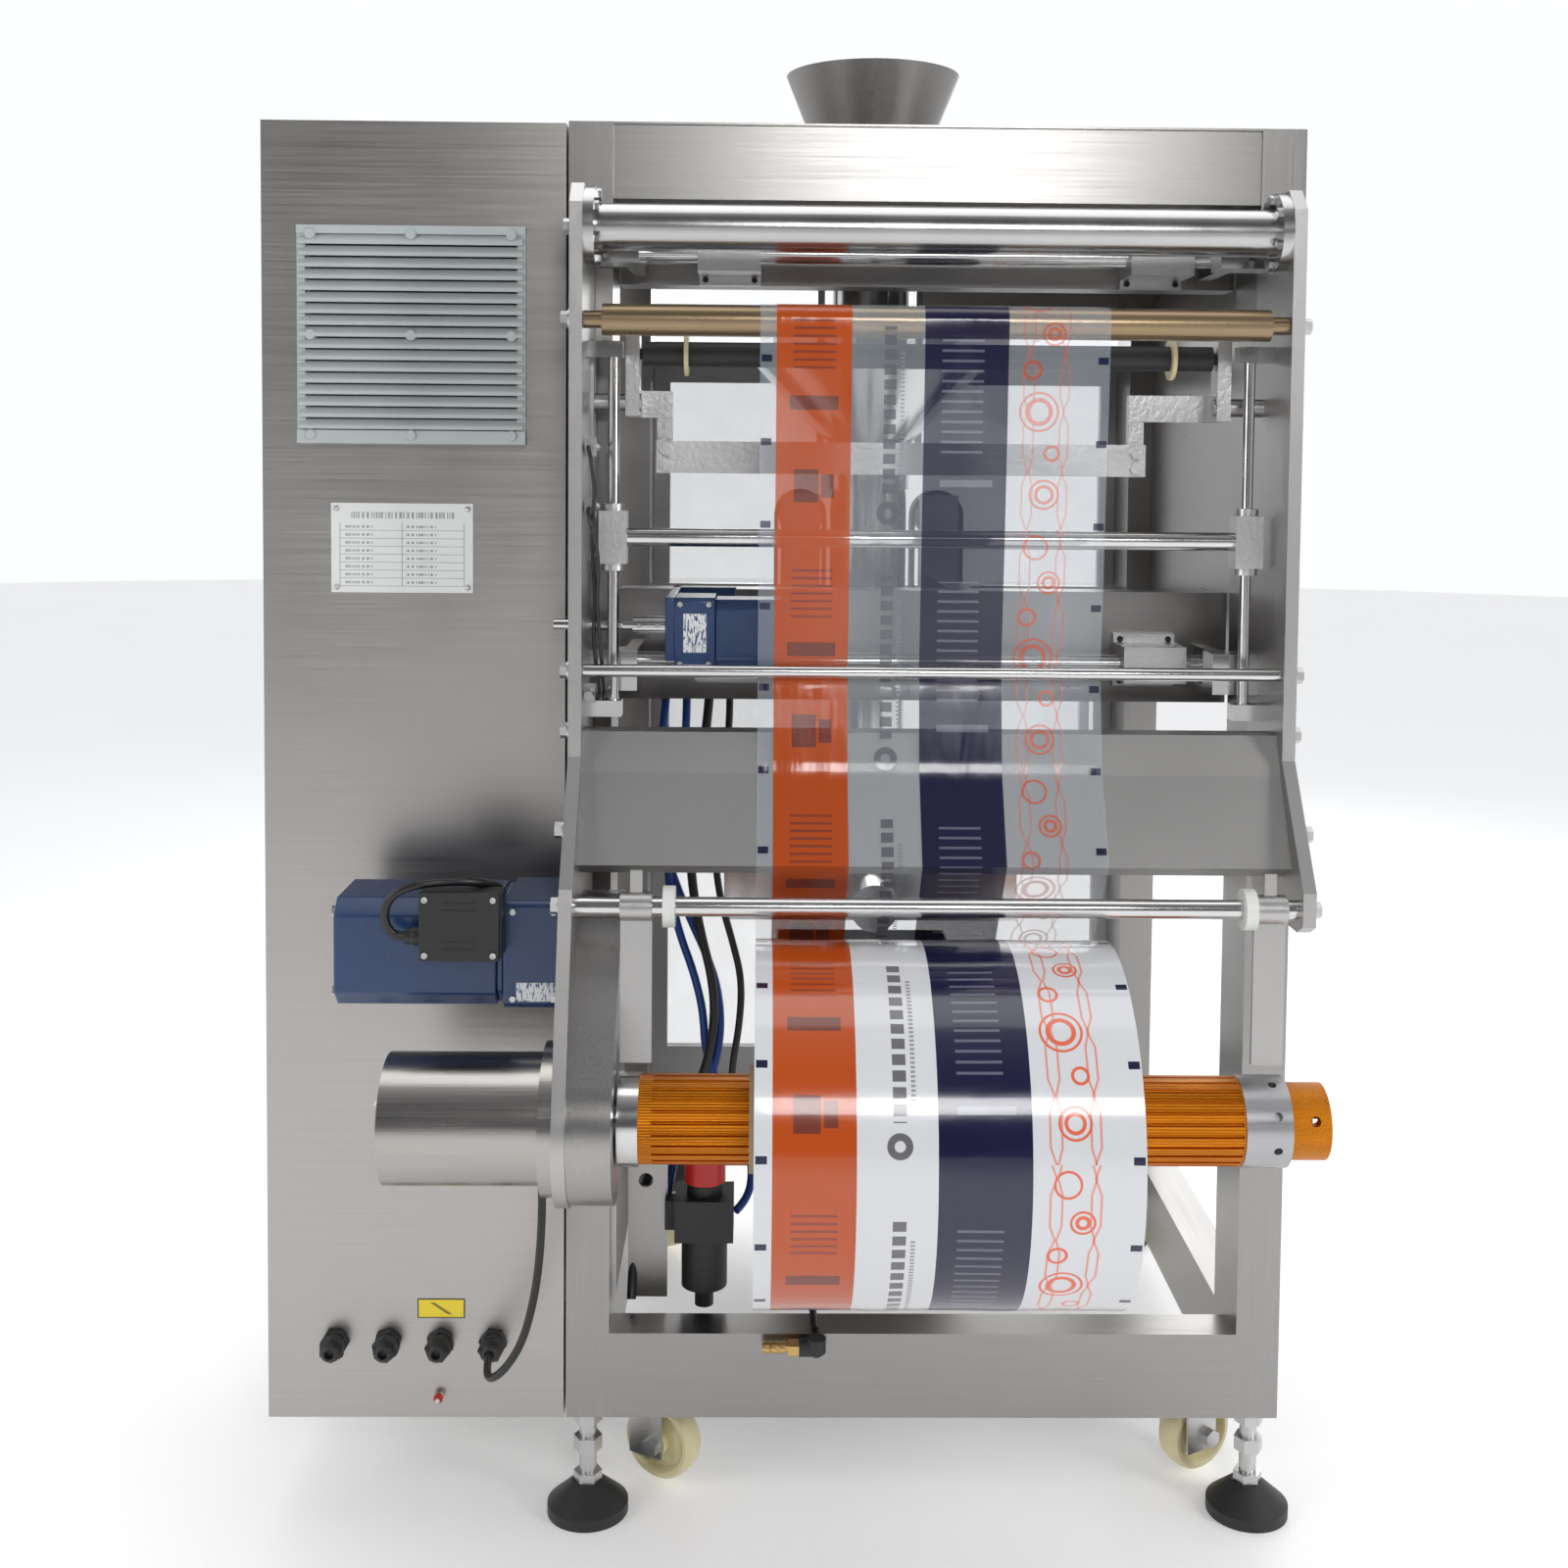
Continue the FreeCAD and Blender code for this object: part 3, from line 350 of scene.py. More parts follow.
def touch_up_solids(name, *rules):
    """Give whole solids another finish where a rule on their corners holds."""
    obj = nodes[name]
    found = islands(obj)
    for rule, material in rules:
        obj.data.materials.append(material)
        for faces, low, high in found:
            if rule(low, high):
                for face in faces:
                    obj.data.polygons[face].material_index = len(obj.data.materials) - 1


wear_longest("frame_posts", frame_steel)
wear_longest("frame_rails", frame_steel)
tube_steel = plated("tube_steel", 0.5, 0.17)
cover_steel = brushed("cover_steel", "z", 0.36, 0.28)
brake_steel = brushed("brake_steel", "x", 0.4, 0.22, 0.05)
funnel_steel = brushed("funnel_steel", "z", 0.3, 0.42, 0.03)
PLAIN = (
    (cabinet_steel, ("cabinet_shell", "cabinet_door", "operator_box")),
    (frame_steel["y"], ("frame_panels",)),
    (frame_steel["z"], ("discharge_chute",)),
    (plate_steel, ("side_plate_left", "side_plate_right", "swing_arm_left", "swing_arm_right")),
    (panel_steel, ("slant_panel",)),
    (tube_steel, ("top_tube",)),
    (cover_steel, ("belt_cover",)),
    (brake_steel, ("brake_housing",)),
    (funnel_steel, ("product_funnel",)),
    (bar_chrome, ("forming_set", "jaw_guides", "low_rod", "thin_roller", "tracking_screw")),
    (post_chrome, ("guide_shafts",)),
    (zinc, ("plate_screws", "levelling_feet", "control_gear", "caster_fork_rear_left",
            "caster_fork_rear_right", "caster_fork_front_left", "caster_fork_front_right")),
    (silver, ("sensor_set", "belt_pulley_left", "belt_pulley_right", "guard_door")),
    (bronze, ("gold_roller",)),
    (brass, ("jaw_rear", "jaw_front", "vertical_sealer")),
    (dark_rubber, ("pull_belts", "dancer_roller")),
    (black, ("air_service_set", "main_switch")),
    (red, ("regulator_knob", "emergency_stop")),
    (green, ("start_button",)),
)
for material, names in PLAIN:
    for name in names:
        wear(name, material)

PAD_TOP = 0.0301
ROD_RADIUS = 0.0083
BRACKET_WIDE = 0.045
ELBOW_LONG = 0.062
HOSE_TAIL_LONG = 0.01
PANE_DEEP = 0.03
PANE_THICK = 0.008
PULLEY_WIDE = 0.1
rod_low, rod_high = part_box("low_rod")
rod_mid = (rod_low + rod_high) / 2
touch_up("levelling_feet", (lambda c: c.z < PAD_TOP, black))
touch_up("low_rod", (lambda c: math.hypot(c.y - rod_mid.y, c.z - rod_mid.z) > ROD_RADIUS, white_nylon))
service_low, service_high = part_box("air_service_set")
bracket_end = service_low.x + BRACKET_WIDE
tail_start, tail_end = service_high.x - ELBOW_LONG, service_high.x - HOSE_TAIL_LONG
touch_up_solids("air_service_set", (lambda low, high: high.x < bracket_end, frame_steel["z"]),
                (lambda low, high: low.x > tail_start and high.x < tail_end, brass))
door_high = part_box("guard_door")[1]
touch_up_solids("guard_door", (lambda low, high: high.y < door_high.y - PANE_DEEP and high.x - low.x > 0.3
                               and high.y - low.y < PANE_THICK, pane))
touch_up_solids("pull_belts", (lambda low, high: high.y - low.y > PULLEY_WIDE, silver))
print("CAD nodes finished:", 2 + sum(len(names) for material, names in PLAIN))

# %% [markdown]
# ## Making meshes
# Most added pieces are turned on a lathe or cut from a rounded block, so two small makers serve them.

# %% Makers of meshes
def put(name, data):
    """A new object in the scene."""
    obj = bpy.data.objects.new(name, data)
    bpy.context.scene.collection.objects.link(obj)
    return obj


def piece(name, bm, body, material, round_edges=0.0):
    """A finished mesh that rides on a body."""
    mesh = bpy.data.meshes.new(name)
    bmesh.ops.recalc_face_normals(bm, faces=bm.faces)
    bm.to_mesh(mesh)
    bm.free()
    obj = put(name, mesh)
    mesh.materials.append(material)
    if round_edges:
        rounding = obj.modifiers.new("edge", "BEVEL")
        rounding.width = round_edges
        rounding.segments = 3
        rounding.limit_method = "ANGLE"
        rounding.angle_limit = math.radians(35)
    for face in mesh.polygons:
        face.use_smooth = True
    mesh.set_sharp_from_angle(angle=math.radians(38))
    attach(obj, body)
    return obj


def axis_turn(axis):
    """A turn that takes +Z to the axis."""
    return Vector((0, 0, 1)).rotation_difference(Vector(axis)).to_matrix().to_4x4()


def lathe(bm, outline, centre, axis=(0, 0, 1), steps=48, turn=0.0):
    """Turn an outline of (radius, along) points about an axis through centre."""
    place = Matrix.Translation(Vector(centre)) @ axis_turn(axis)
    rings = []
    for radius, along in outline:
        ring = []
        for i in range(steps if radius > 1e-6 else 1):
            angle = 2 * math.pi * i / steps + turn
            spot = Vector((radius * math.cos(angle), radius * math.sin(angle), along))
            ring.append(bm.verts.new(place @ spot))
        rings.append(ring)
    for one, two in zip(rings, rings[1:]):
        for i in range(steps):
            corners = []
            for v in (one[i % len(one)], one[(i + 1) % len(one)], two[(i + 1) % len(two)], two[i % len(two)]):
                if v not in corners:
                    corners.append(v)
            if len(corners) > 2:
                bm.faces.new(corners)


def block(bm, low, high):
    """A block between two corners."""
    made = bmesh.ops.create_cube(bm, size=1)
    size = Vector(high) - Vector(low)
    centre = (Vector(high) + Vector(low)) / 2
    for v in made["verts"]:
        v.co = Vector(v.co[i] * size[i] for i in range(3)) + centre


def between(bm, one, two):
    """A solid between two matching outlines."""
    ends = [[bm.verts.new(p) for p in outline] for outline in (one, two)]
    bm.faces.new(ends[0])
    bm.faces.new(ends[1][::-1])
    for a in range(len(one)):
        b = (a + 1) % len(one)
        bm.faces.new((ends[0][a], ends[1][a], ends[1][b], ends[0][b]))


def hexagon(bm, centre, axis, radius, long, turn=0.0):
    """A hexagon nut or head with its corners eased, from the centre of its first end."""
    ease = radius * 0.1
    lathe(bm, [(0, 0), (radius - ease, 0), (radius, ease), (radius, long - ease), (radius - ease, long),
               (0, long)], centre, axis, 6, turn)


def middle(name):
    """The centre of a node's box."""
    low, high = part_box(name)
    return (low + high) / 2


# %% [markdown]
# ## The printed film
# The film carries repeating bands of colour along its length.  Both the wound reel and the web are
# made with two laid values: one across the film and one along it in metres, so the same print
# expression serves both.  The print is plain shapes only: bands, rules, rings and dashes.

# %% The print, and its clear and wound finishes
ORANGE = (0.46, 0.068, 0.006, 1)
NAVY = (0.008, 0.008, 0.04, 1)
INK = (0.025, 0.02, 0.03, 1)
REPEAT = 0.21
FILM_WIDE = 0.294
RINGS = ((0.03, 0.82, 0.012, 0.001), (0.03, 0.82, 0.007, 0.0014), (0.1, 0.8, 0.016, 0.001),
         (0.1, 0.8, 0.01, 0.0018), (0.165, 0.84, 0.009, 0.001), (0.165, 0.84, 0.0045, 0.0015),
         (0.065, 0.84, 0.006, 0.0012), (0.135, 0.78, 0.007, 0.0012), (0.195, 0.8, 0.01, 0.001))
TRACES = ((0.755, 1.2), (0.785, -0.9), (0.86, 1.0), (0.885, -1.3))


def band(value, low, high):
    """1 where a value lies between two levels."""
    return value.above(low) * value.below(high)


def film_print(f, ground):
    """The print's colour and how much ink covers the film, from 0 to 1."""
    across, along = f.uv()
    cell = along.repeat(REPEAT)

    def patch(row, row_end, column, column_end):
        return band(cell, row, row_end) * band(across, column, column_end)

    def rules(pitch, thick):
        return band(along.repeat(pitch), 0.0, thick)

    def ring(row, column, radius, width):
        """A circle line centred in the cell."""
        up = cell - row
        out = (across - column) * FILM_WIDE
        return ((up * up + out * out).math("SQRT") - radius).size().below(width)

    orange = band(across, 0.047, 0.262)
    navy = band(across, 0.47, 0.71)
    dash = rules(0.07, 0.006) * (band(across, 0.004, 0.034) + band(across, 0.966, 0.996))
    bars = patch(0.022, 0.05, 0.1, 0.17) + patch(0.026, 0.046, 0.178, 0.215) + patch(0.1, 0.112, 0.085, 0.225)
    lines = rules(0.0066, 0.0022) * patch(0.132, 0.176, 0.095, 0.215)
    spine = patch(0.03, 0.17, 0.355, 0.39) * rules(0.0125, 0.0085)
    fine = patch(0.04, 0.15, 0.402, 0.414) * rules(0.0035, 0.002)
    pale = (rules(0.0085, 0.0022) * patch(0.06, 0.165, 0.52, 0.64) + patch(0.036, 0.042, 0.52, 0.67)).capped()
    rings = total([ring(*place) for place in RINGS])
    bend = ((cell.repeat(0.05) - 0.025).size() - 0.0125).math("MAXIMUM", 0.0)
    traces = total([(across - column - bend * reach).size().below(0.003) for column, reach in TRACES])
    art = (rings + traces * 0.7).capped() * band(across, 0.725, 0.935)
    emblem = ring(0.013, 0.372, 0.007, 0.0028)
    dark = (bars * 0.8 + lines * 0.6 + spine + fine * 0.7 + emblem).capped()
    colour = f.mix(orange, ground, ORANGE)
    colour = f.mix((navy + dash).capped(), colour, NAVY)
    colour = f.mix(pale * 0.22, colour, (0.5, 0.52, 0.62, 1))
    colour = f.mix(art * 0.92, colour, (0.72, 0.09, 0.015, 1))
    colour = f.mix(dark * 0.82, colour, INK)
    return colour, (orange + navy + dash + art * 0.5 + dark).capped()


def reel_finish():
    """Film wound many layers deep: opaque, glossy and faintly rippled."""
    f = Finish("wound_film")
    colour, cover = film_print(f, (0.64, 0.65, 0.67, 1))
    ripple = f.noise(26, 3, (0.35, 1, 1))
    return f.set(Base_Color=colour, Roughness=ripple * 0.16 + 0.08, Coat_Weight=0.45,
                 Normal=f.bump(ripple, 0.0016, 0.3))


def web_finish():
    """One layer of the film: the ink is nearly opaque, the rest is clear."""
    f = Finish("web_film")
    colour, cover = film_print(f, (0.6, 0.66, 0.72, 1))
    crease = f.noise(9, 4, (1.8, 1, 0.35))
    f.material.surface_render_method = "BLENDED"
    return f.set(Base_Color=colour, Roughness=crease * 0.16 + 0.08, Coat_Weight=0.5,
                 Alpha=cover * 0.62 + crease * 0.16 + 0.16, Normal=f.bump(crease, 0.006, 0.6))


wound_film = reel_finish()
web_film = web_finish()
print("film finishes made")

# %% [markdown]
# ## The reel and the web
# The reel is a barrel with a row of faces for every two degrees, and its ends show the edges of the
# layers as fine rings.  The web is one sheet along a line that leads past the panel and both rollers.

# %% The wound reel and its core
reel_low, reel_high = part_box("film_reel")
reel_mid = middle("film_reel")
reel_axis = Vector((0, reel_mid.y, reel_mid.z))
REEL_RADIUS = (reel_high.z - reel_low.z) / 2
CORE_LIP = 0.004
reel_left = reel_low.x + CORE_LIP
reel_right = reel_high.x - CORE_LIP
CORE_RADIUS = 0.043
SHAFT_RADIUS = 0.0362


def film_x(share):
    return reel_left + (reel_right - reel_left) * share


def film_strip(bm, stations, steps, spot):
    """A strip of film, with laid values, through stations of (place, length run so far)."""
    layer = bm.loops.layers.uv.verify()
    rows = []
    for place, run in stations:
        shares = [j / steps for j in range(steps + 1)]
        rows.append([(bm.verts.new(spot(place, run, share)), (share, run)) for share in shares])
    for one, two in zip(rows, rows[1:]):
        for j in range(steps):
            corners = (one[j], one[j + 1], two[j + 1], two[j])
            face = bm.faces.new([vert for vert, laid in corners])
            for loop, (vert, laid) in zip(face.loops, corners):
                loop[layer].uv = laid


TURNS = 180
LAYER_SAG = 0.0006


def on_reel(angle, run, share):
    r = REEL_RADIUS - LAYER_SAG * abs(math.sin(share * math.pi * 3))
    return film_x(share), reel_axis.y - r * math.sin(angle), reel_axis.z + r * math.cos(angle)


angles = [2 * math.pi * i / TURNS for i in range(TURNS + 1)]
bm = bmesh.new()
film_strip(bm, [(angle, -REEL_RADIUS * angle) for angle in angles], 12, on_reel)
bmesh.ops.remove_doubles(bm, verts=bm.verts, dist=1e-5)
wound = piece("wound_film", bm, "film_shaft", wound_film)
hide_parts("film_reel")


def layer_edges():
    """Film edge on: the layers show as faint rings."""
    f = Finish("layer_edges")
    place = f.place()
    up = f.part(place, 2) - reel_axis.z
    out = f.part(place, 1) - reel_axis.y
    radius = (up * up + out * out).math("SQRT")
    rings = f.grain_along(radius, 900.0, 4.0)
    return f.set(Base_Color=f.mix(rings, (0.5, 0.5, 0.52, 1), (0.86, 0.86, 0.87, 1)), Roughness=0.35,
                 Normal=f.bump(rings, 0.0003, 0.4))


edge_finish = layer_edges()
for side, x in (("left", reel_left), ("right", reel_right)):
    bm = bmesh.new()
    inward = 1 if side == "left" else -1
    outline = [(CORE_RADIUS, x + 0.0006 * inward), (REEL_RADIUS - 0.001, x + 0.0002 * inward),
               (REEL_RADIUS, x + 0.0004 * inward)]
    lathe(bm, outline, reel_axis, (1, 0, 0), 96)
    piece(f"reel_edge_{side}", bm, "film_shaft", edge_finish)
bm = bmesh.new()
EDGE = 0.0005
lathe(bm, [(SHAFT_RADIUS, reel_low.x), (CORE_RADIUS - EDGE, reel_low.x), (CORE_RADIUS, reel_low.x + EDGE),
           (CORE_RADIUS, reel_high.x - EDGE), (CORE_RADIUS - EDGE, reel_high.x), (SHAFT_RADIUS, reel_high.x),
           (SHAFT_RADIUS, reel_low.x)], reel_axis, (1, 0, 0), 64)
piece("reel_core", bm, "film_shaft", card)
print("reel radius", round(REEL_RADIUS, 4))

# %% The web
WEB_GAP = 0.0009
WEB_STEP = 0.012
WEB_LEAVES = 47
web_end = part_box("film_web")[1].y - 0.002
gold_mid = middle("gold_roller")
thin_mid = middle("thin_roller")
panel_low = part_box("slant_panel")[0]
gold_ring = gold_mid.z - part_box("gold_roller")[0].z + WEB_GAP
thin_ring = thin_mid.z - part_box("thin_roller")[0].z + WEB_GAP
reel_ring = REEL_RADIUS + WEB_GAP


def off_axis(centre, radius, degrees):
    """A point of the web off an axis along x, with the angle counted from +Y up."""
    turn = math.radians(degrees)
    return Vector((0, centre.y + radius * math.cos(turn), centre.z + radius * math.sin(turn)))


path = [off_axis(reel_axis, reel_ring, WEB_LEAVES), Vector((0, panel_low.y - 0.0016, panel_low.z + 0.0135)),
        Vector((0, panel_low.y + 0.037, panel_low.z + 0.0845)), off_axis(thin_mid, thin_ring, 0)]
path += [off_axis(gold_mid, gold_ring, degrees) for degrees in range(176, 80, -8)]
path.append(Vector((0, web_end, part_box("forming_set")[1].z - 0.212)))
lengths = [0.0]
fine_path = [path[0]]
for one, two in zip(path, path[1:]):
    count = max(1, int((two - one).length / WEB_STEP))
    for i in range(1, count + 1):
        fine_path.append(one.lerp(two, i / count))
        lengths.append(lengths[-1] + (fine_path[-1] - fine_path[-2]).length)


def on_web(point, run, share):
    """A point of the web, which waves a little between the rollers."""
    free = 0.0
    if thin_mid.z - 0.03 < point.z < gold_mid.z:
        free = min(1.0, abs(point.z - thin_mid.z) / 0.08, abs(point.z - gold_mid.z) / 0.08)
    wave = 0.0011 * free * math.sin(share * 19 + run * 9) + 0.0012 * free * math.sin(share * 7 - run * 14)
    return film_x(share), point.y - abs(wave), point.z


bm = bmesh.new()
film_strip(bm, zip(fine_path, lengths), 28, on_web)
web = piece("web", bm, "film_carriage", web_film)
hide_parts("film_web")
print("web length", round(lengths[-1], 3))

# %% [markdown]
# ## Louvred vent
# The grille is moulded plastic: a raised frame, slanted slats that throw water off, and small round
# bosses that hide its screws.  A loop makes the slats, all with one slanted section.

# %% The vent
vent_low, vent_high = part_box("cabinet_vent")
vent_size = vent_high - vent_low
SLATS = 17
FRAME_WIDE = 0.0075
SILL = 0.012
face_y = vent_low.y
side_y = face_y + 0.004
rail_y = face_y + 0.002
bm = bmesh.new()
block(bm, (vent_low.x, side_y, vent_low.z), (vent_low.x + FRAME_WIDE, vent_high.y, vent_high.z))
block(bm, (vent_high.x - FRAME_WIDE, side_y, vent_low.z), vent_high)
block(bm, (vent_low.x, rail_y, vent_high.z - FRAME_WIDE), vent_high)
block(bm, (vent_low.x, rail_y, vent_low.z), (vent_high.x, vent_high.y, vent_low.z + SILL))
pitch = (vent_size.z - FRAME_WIDE - SILL) / SLATS
for i in range(SLATS):
    top = vent_high.z - FRAME_WIDE - i * pitch
    section = [(face_y, top - pitch * 0.9), (face_y + 0.0016, top - pitch * 0.93),
               (face_y + 0.0075, top - pitch * 0.1), (face_y + 0.006, top), (face_y, top - pitch * 0.62)]
    between(bm, *([(x, y, z) for y, z in section] for x in (vent_low.x + 0.002, vent_high.x - 0.002)))
boss = [(0, -0.0058), (0.004, -0.0058), (0.005, -0.0046), (0.005, 0.004), (0, 0.004)]
for share_x in (0.06, 0.5, 0.94):
    for share_z in (0.04, 0.5, 0.96):
        centre = (vent_low.x + vent_size.x * share_x, face_y + 0.006, vent_low.z + vent_size.z * share_z)
        lathe(bm, boss, centre, (0, 1, 0), 20)
vent = piece("vent", bm, "machine", vent_grey, round_edges=0.0004)
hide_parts("cabinet_vent")
# A thin near-black sheet closes the back of the grille: painted shade that shows between the slats.
bm = bmesh.new()
block(bm, vent_low + Vector((0.01, vent_size.y - 0.0022, 0.01)), vent_high - Vector((0.01, 0.001, 0.01)))
vent_shade_mat = moulded("vent_back_shade", (0.03, 0.03, 0.03), 0.9, 1500)
piece("vent_back_shade", bm, "machine", vent_shade_mat)
print("vent slats:", SLATS)

# %% [markdown]
# ## Rating plate and voltage label
# The plate keeps its rivets and ruled table but no words.

# %% Plates
def ruled_plate():
    """A white enamelled plate with a ruled table and short dark dashes for its entries."""
    f = Finish("rating_plate")
    across, along = f.uv()

    def line(value, at_value, width):
        return (value - at_value).size().below(width)

    def row_part(low, high):
        return band((along - 0.07).repeat(0.0888), low, high)

    inside = band(across, 0.06, 0.94) * band(along, 0.07, 0.78)
    rules = (along - 0.07).repeat(0.0888).below(0.006)
    columns = line(across, 0.5, 0.003) + line(across, 0.062, 0.003) + line(across, 0.938, 0.003)
    words = f.grain_along(across * 60.0, 1.0).above(0.5)
    entries = row_part(0.03, 0.058) * words * band(across.repeat(0.44), 0.09, 0.3)
    heading = band(along, 0.83, 0.9) * band(across, 0.14, 0.88) * words
    ink = ((rules + columns) * inside * 0.7 + entries * inside * 0.75 + heading * 0.7).capped()
    return f.set(Base_Color=f.mix(ink, (0.74, 0.75, 0.74, 1), (0.12, 0.12, 0.13, 1)),
                 Roughness=0.3, Coat_Weight=0.4)


def flat_plate(name, low, high, thick, material):
    """A thin rounded plate on the cabinet's rear face with laid values over its face."""
    bm = bmesh.new()
    block(bm, (low[0], cab_rear - thick, low[1]), (high[0], cab_rear, high[1]))
    layer = bm.loops.layers.uv.verify()
    for face in bm.faces:
        for loop in face.loops:
            co = loop.vert.co
            loop[layer].uv = ((co.x - low[0]) / (high[0] - low[0]), (co.z - low[1]) / (high[1] - low[1]))
    return piece(name, bm, "machine", material, round_edges=0.0003)


OUT = (0, -1, 0)
RIVET_IN = 0.005
cab_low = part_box("cabinet_shell")[0]
cab_rear = cab_low.y
plate_corner = (cab_low.x + 0.0616, 0.8676)
plate_far = (plate_corner[0] + 0.128, plate_corner[1] + 0.081)
flat_plate("rating_plate", plate_corner, plate_far, 0.0012, ruled_plate())
rivet = [(0, 0.0026), (0.0012, 0.0024), (0.0022, 0.0016), (0.0026, 0.0004), (0.0026, 0)]
bm = bmesh.new()
for x in (plate_corner[0] + RIVET_IN, plate_far[0] - RIVET_IN):
    for z in (plate_corner[1] + RIVET_IN, plate_far[1] - RIVET_IN):
        lathe(bm, rivet, (x, cab_rear - 0.0012, z), OUT, 20)
piece("plate_rivets", bm, "machine", zinc)
yellow = Finish("yellow_label")
label_across, label_up = yellow.uv()
side = label_across - 0.5
rise = label_up - 0.5
rim = side.size().above(0.47) + rise.size().above(0.44)
bolt_line = (side * 1.6 + rise).size().below(0.08) * rise.size().below(0.3)
mark = (rim + bolt_line * 0.8).capped()
yellow_label = yellow.set(Base_Color=yellow.mix(mark, (0.88, 0.68, 0.01, 1), (0.05, 0.04, 0.01, 1)),
                          Roughness=0.35, Coat_Weight=0.3)
label_corner = (cab_low.x + 0.1378, 0.1943)
label_far = (label_corner[0] + 0.044, label_corner[1] + 0.0185)
flat_plate("yellow_label", label_corner, label_far, 0.0004, yellow_label)
bm = bmesh.new()
earth = (cab_low.x + 0.158, cab_rear, 0.121)
hexagon(bm, earth, OUT, 0.0045, 0.003)
lathe(bm, [(0, 0.012), (0.0022, 0.0115), (0.0025, 0.002), (0.0025, 0)], earth, OUT, 20)
piece("earth_stud", bm, "machine", zinc)
bm = bmesh.new()
lathe(bm, [(0.0026, 0.0045), (0.0045, 0.0045), (0.0045, 0.007), (0.0026, 0.007)], earth, OUT, 24)
piece("earth_washer", bm, "machine", red)
print("plates made")

# %% [markdown]
# ## Cable glands and the brake lead
# A gland is two hexagons, a domed cap and a plug or a lead in its mouth.  The brake lead is one
# smooth spline along the route of its CAD tube.

# %% Glands
gland_low, gland_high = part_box("cable_glands")
GLANDS = 4
GLAND_INSET = 0.0135
gland_step = (gland_high.x - gland_low.x - 2 * GLAND_INSET) / (GLANDS - 1)
gland_z = (gland_low.z + gland_high.z) / 2
neck = [(0.0105, 0.006), (0.0108, 0.0075), (0.0108, 0.0095), (0.0098, 0.0102)]
dome = [(0.0102, 0.0187), (0.0098, 0.0205), (0.0086, 0.0232), (0.0072, 0.0248), (0.0052, 0.0262),
        (0.0044, 0.0262), (0.0042, 0.021), (0, 0.021)]
bm = bmesh.new()
for i in range(GLANDS):
    base = Vector((gland_low.x + GLAND_INSET + gland_step * i, gland_high.y, gland_z))
    hexagon(bm, base, OUT, 0.0133, 0.006, 0.3 * i)
    lathe(bm, neck, base, OUT, 32)
    hexagon(bm, base + Vector((0, -0.0102, 0)), OUT, 0.0122, 0.0085, 0.5 + 0.2 * i)
    lathe(bm, dome, base, OUT, 32)
glands = piece("glands", bm, "machine", black)
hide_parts("cable_glands")

# %% The brake lead
def run_length(points):
    """Length of the smooth line that the points pull."""
    spots = [Vector(p) for p in points]
    run = 0.0
    last = spots[0]
    count = len(spots) - 1
    for i in range(1, count):
        a = spots[0] if i == 1 else (spots[i - 1] + spots[i]) / 2
        c = spots[count] if i == count - 1 else (spots[i] + spots[i + 1]) / 2
        for k in range(1, 17):
            t = k / 16
            here = a * (1 - t) ** 2 + spots[i] * 2 * t * (1 - t) + c * t * t
            run += (here - last).length
            last = here
    return run


def free_lead(name, points, radius, body, material):
    """A smooth round lead along the given points."""
    data = bpy.data.curves.new(name, "CURVE")
    data.dimensions = "3D"
    spline = data.splines.new("NURBS")
    spline.points.add(len(points) - 1)
    for point, place in zip(spline.points, points):
        point.co = (*place, 1)
    spline.order_u = 3
    spline.use_endpoint_u = True
    spline.resolution_u = 10
    data.bevel_depth = radius
    data.bevel_resolution = 6
    data.use_fill_caps = True
    data.materials.append(material)
    made = put(name, data)
    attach(made, body)
    radius * 2
    return made


LEAD_ROUTE = ((0, 0.027, 0.172), (0.001, 0.052, 0.169), (0.009, 0.070, 0.172), (0.024, 0.080, 0.189),
              (0.038, 0.086, 0.214), (0.047, 0.089, 0.246), (0.053, 0.090, 0.282), (0.056, 0.089, 0.330),
              (0.055, 0.088, 0.385), (0.054, 0.088, 0.433), (0.054, 0.101, 0.4465), (0.054, 0.1172, 0.4465))
last_gland = gland_high.x - GLAND_INSET
lead_points = [(last_gland + x, gland_high.y - y, z) for x, y, z in LEAD_ROUTE]
lead = free_lead("lead", lead_points, 0.0036, "machine", lead_black)
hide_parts("brake_lead")
print("lead length", round(run_length(lead_points), 3))

# %% [markdown]
# ## Small fittings
# Places here are in millimetres: x from the frame's left edge, y from the cabinet's rear face and z
# from the floor, as in the CAD model.

# %% Places and screws
CABINET_WIDE = 275


def mm(x, y, z):
    """A place in metres, from millimetres.  The cabinet stands left of the frame, where x is 0."""
    return Vector((cab_low.x + (x + CABINET_WIDE) / 1000, cab_rear + y / 1000, z / 1000))


def cap_screw(bm, centre, axis, radius):
    """A socket screw's head, with its recess."""
    lathe(bm, [(0, radius * 0.5), (radius * 0.5, radius * 0.5), (radius * 0.55, radius * 1.0),
               (radius * 0.88, radius * 1.0), (radius, radius * 0.86), (radius, 0)], centre, axis, 20)


bm = bmesh.new()
for z in (803, 1180):
    for x in (144, 542):
        for dx in (-23, 23):
            for dz in (-20, 20):
                cap_screw(bm, mm(x + dx, 78, z + dz), OUT, 0.0028)
piece("block_screws", bm, "machine", black)
bm = bmesh.new()
for z in (1000, 948, 788):
    for dx in (2.6, 6.4):
        cap_screw(bm, mm(24 + dx, -90, z - 4 + (dx > 3) * 8), OUT, 0.0011)
for z in (1088, 905):
    cap_screw(bm, mm(27, -27, z), (1, 0, 0), 0.003)
for dx in (-28, 28):
    for dz in (-23, 23):
        cap_screw(bm, mm(-70 + dx, -171, 605 + dz), OUT, 0.0026)
piece("small_screws", bm, "film_carriage", zinc)

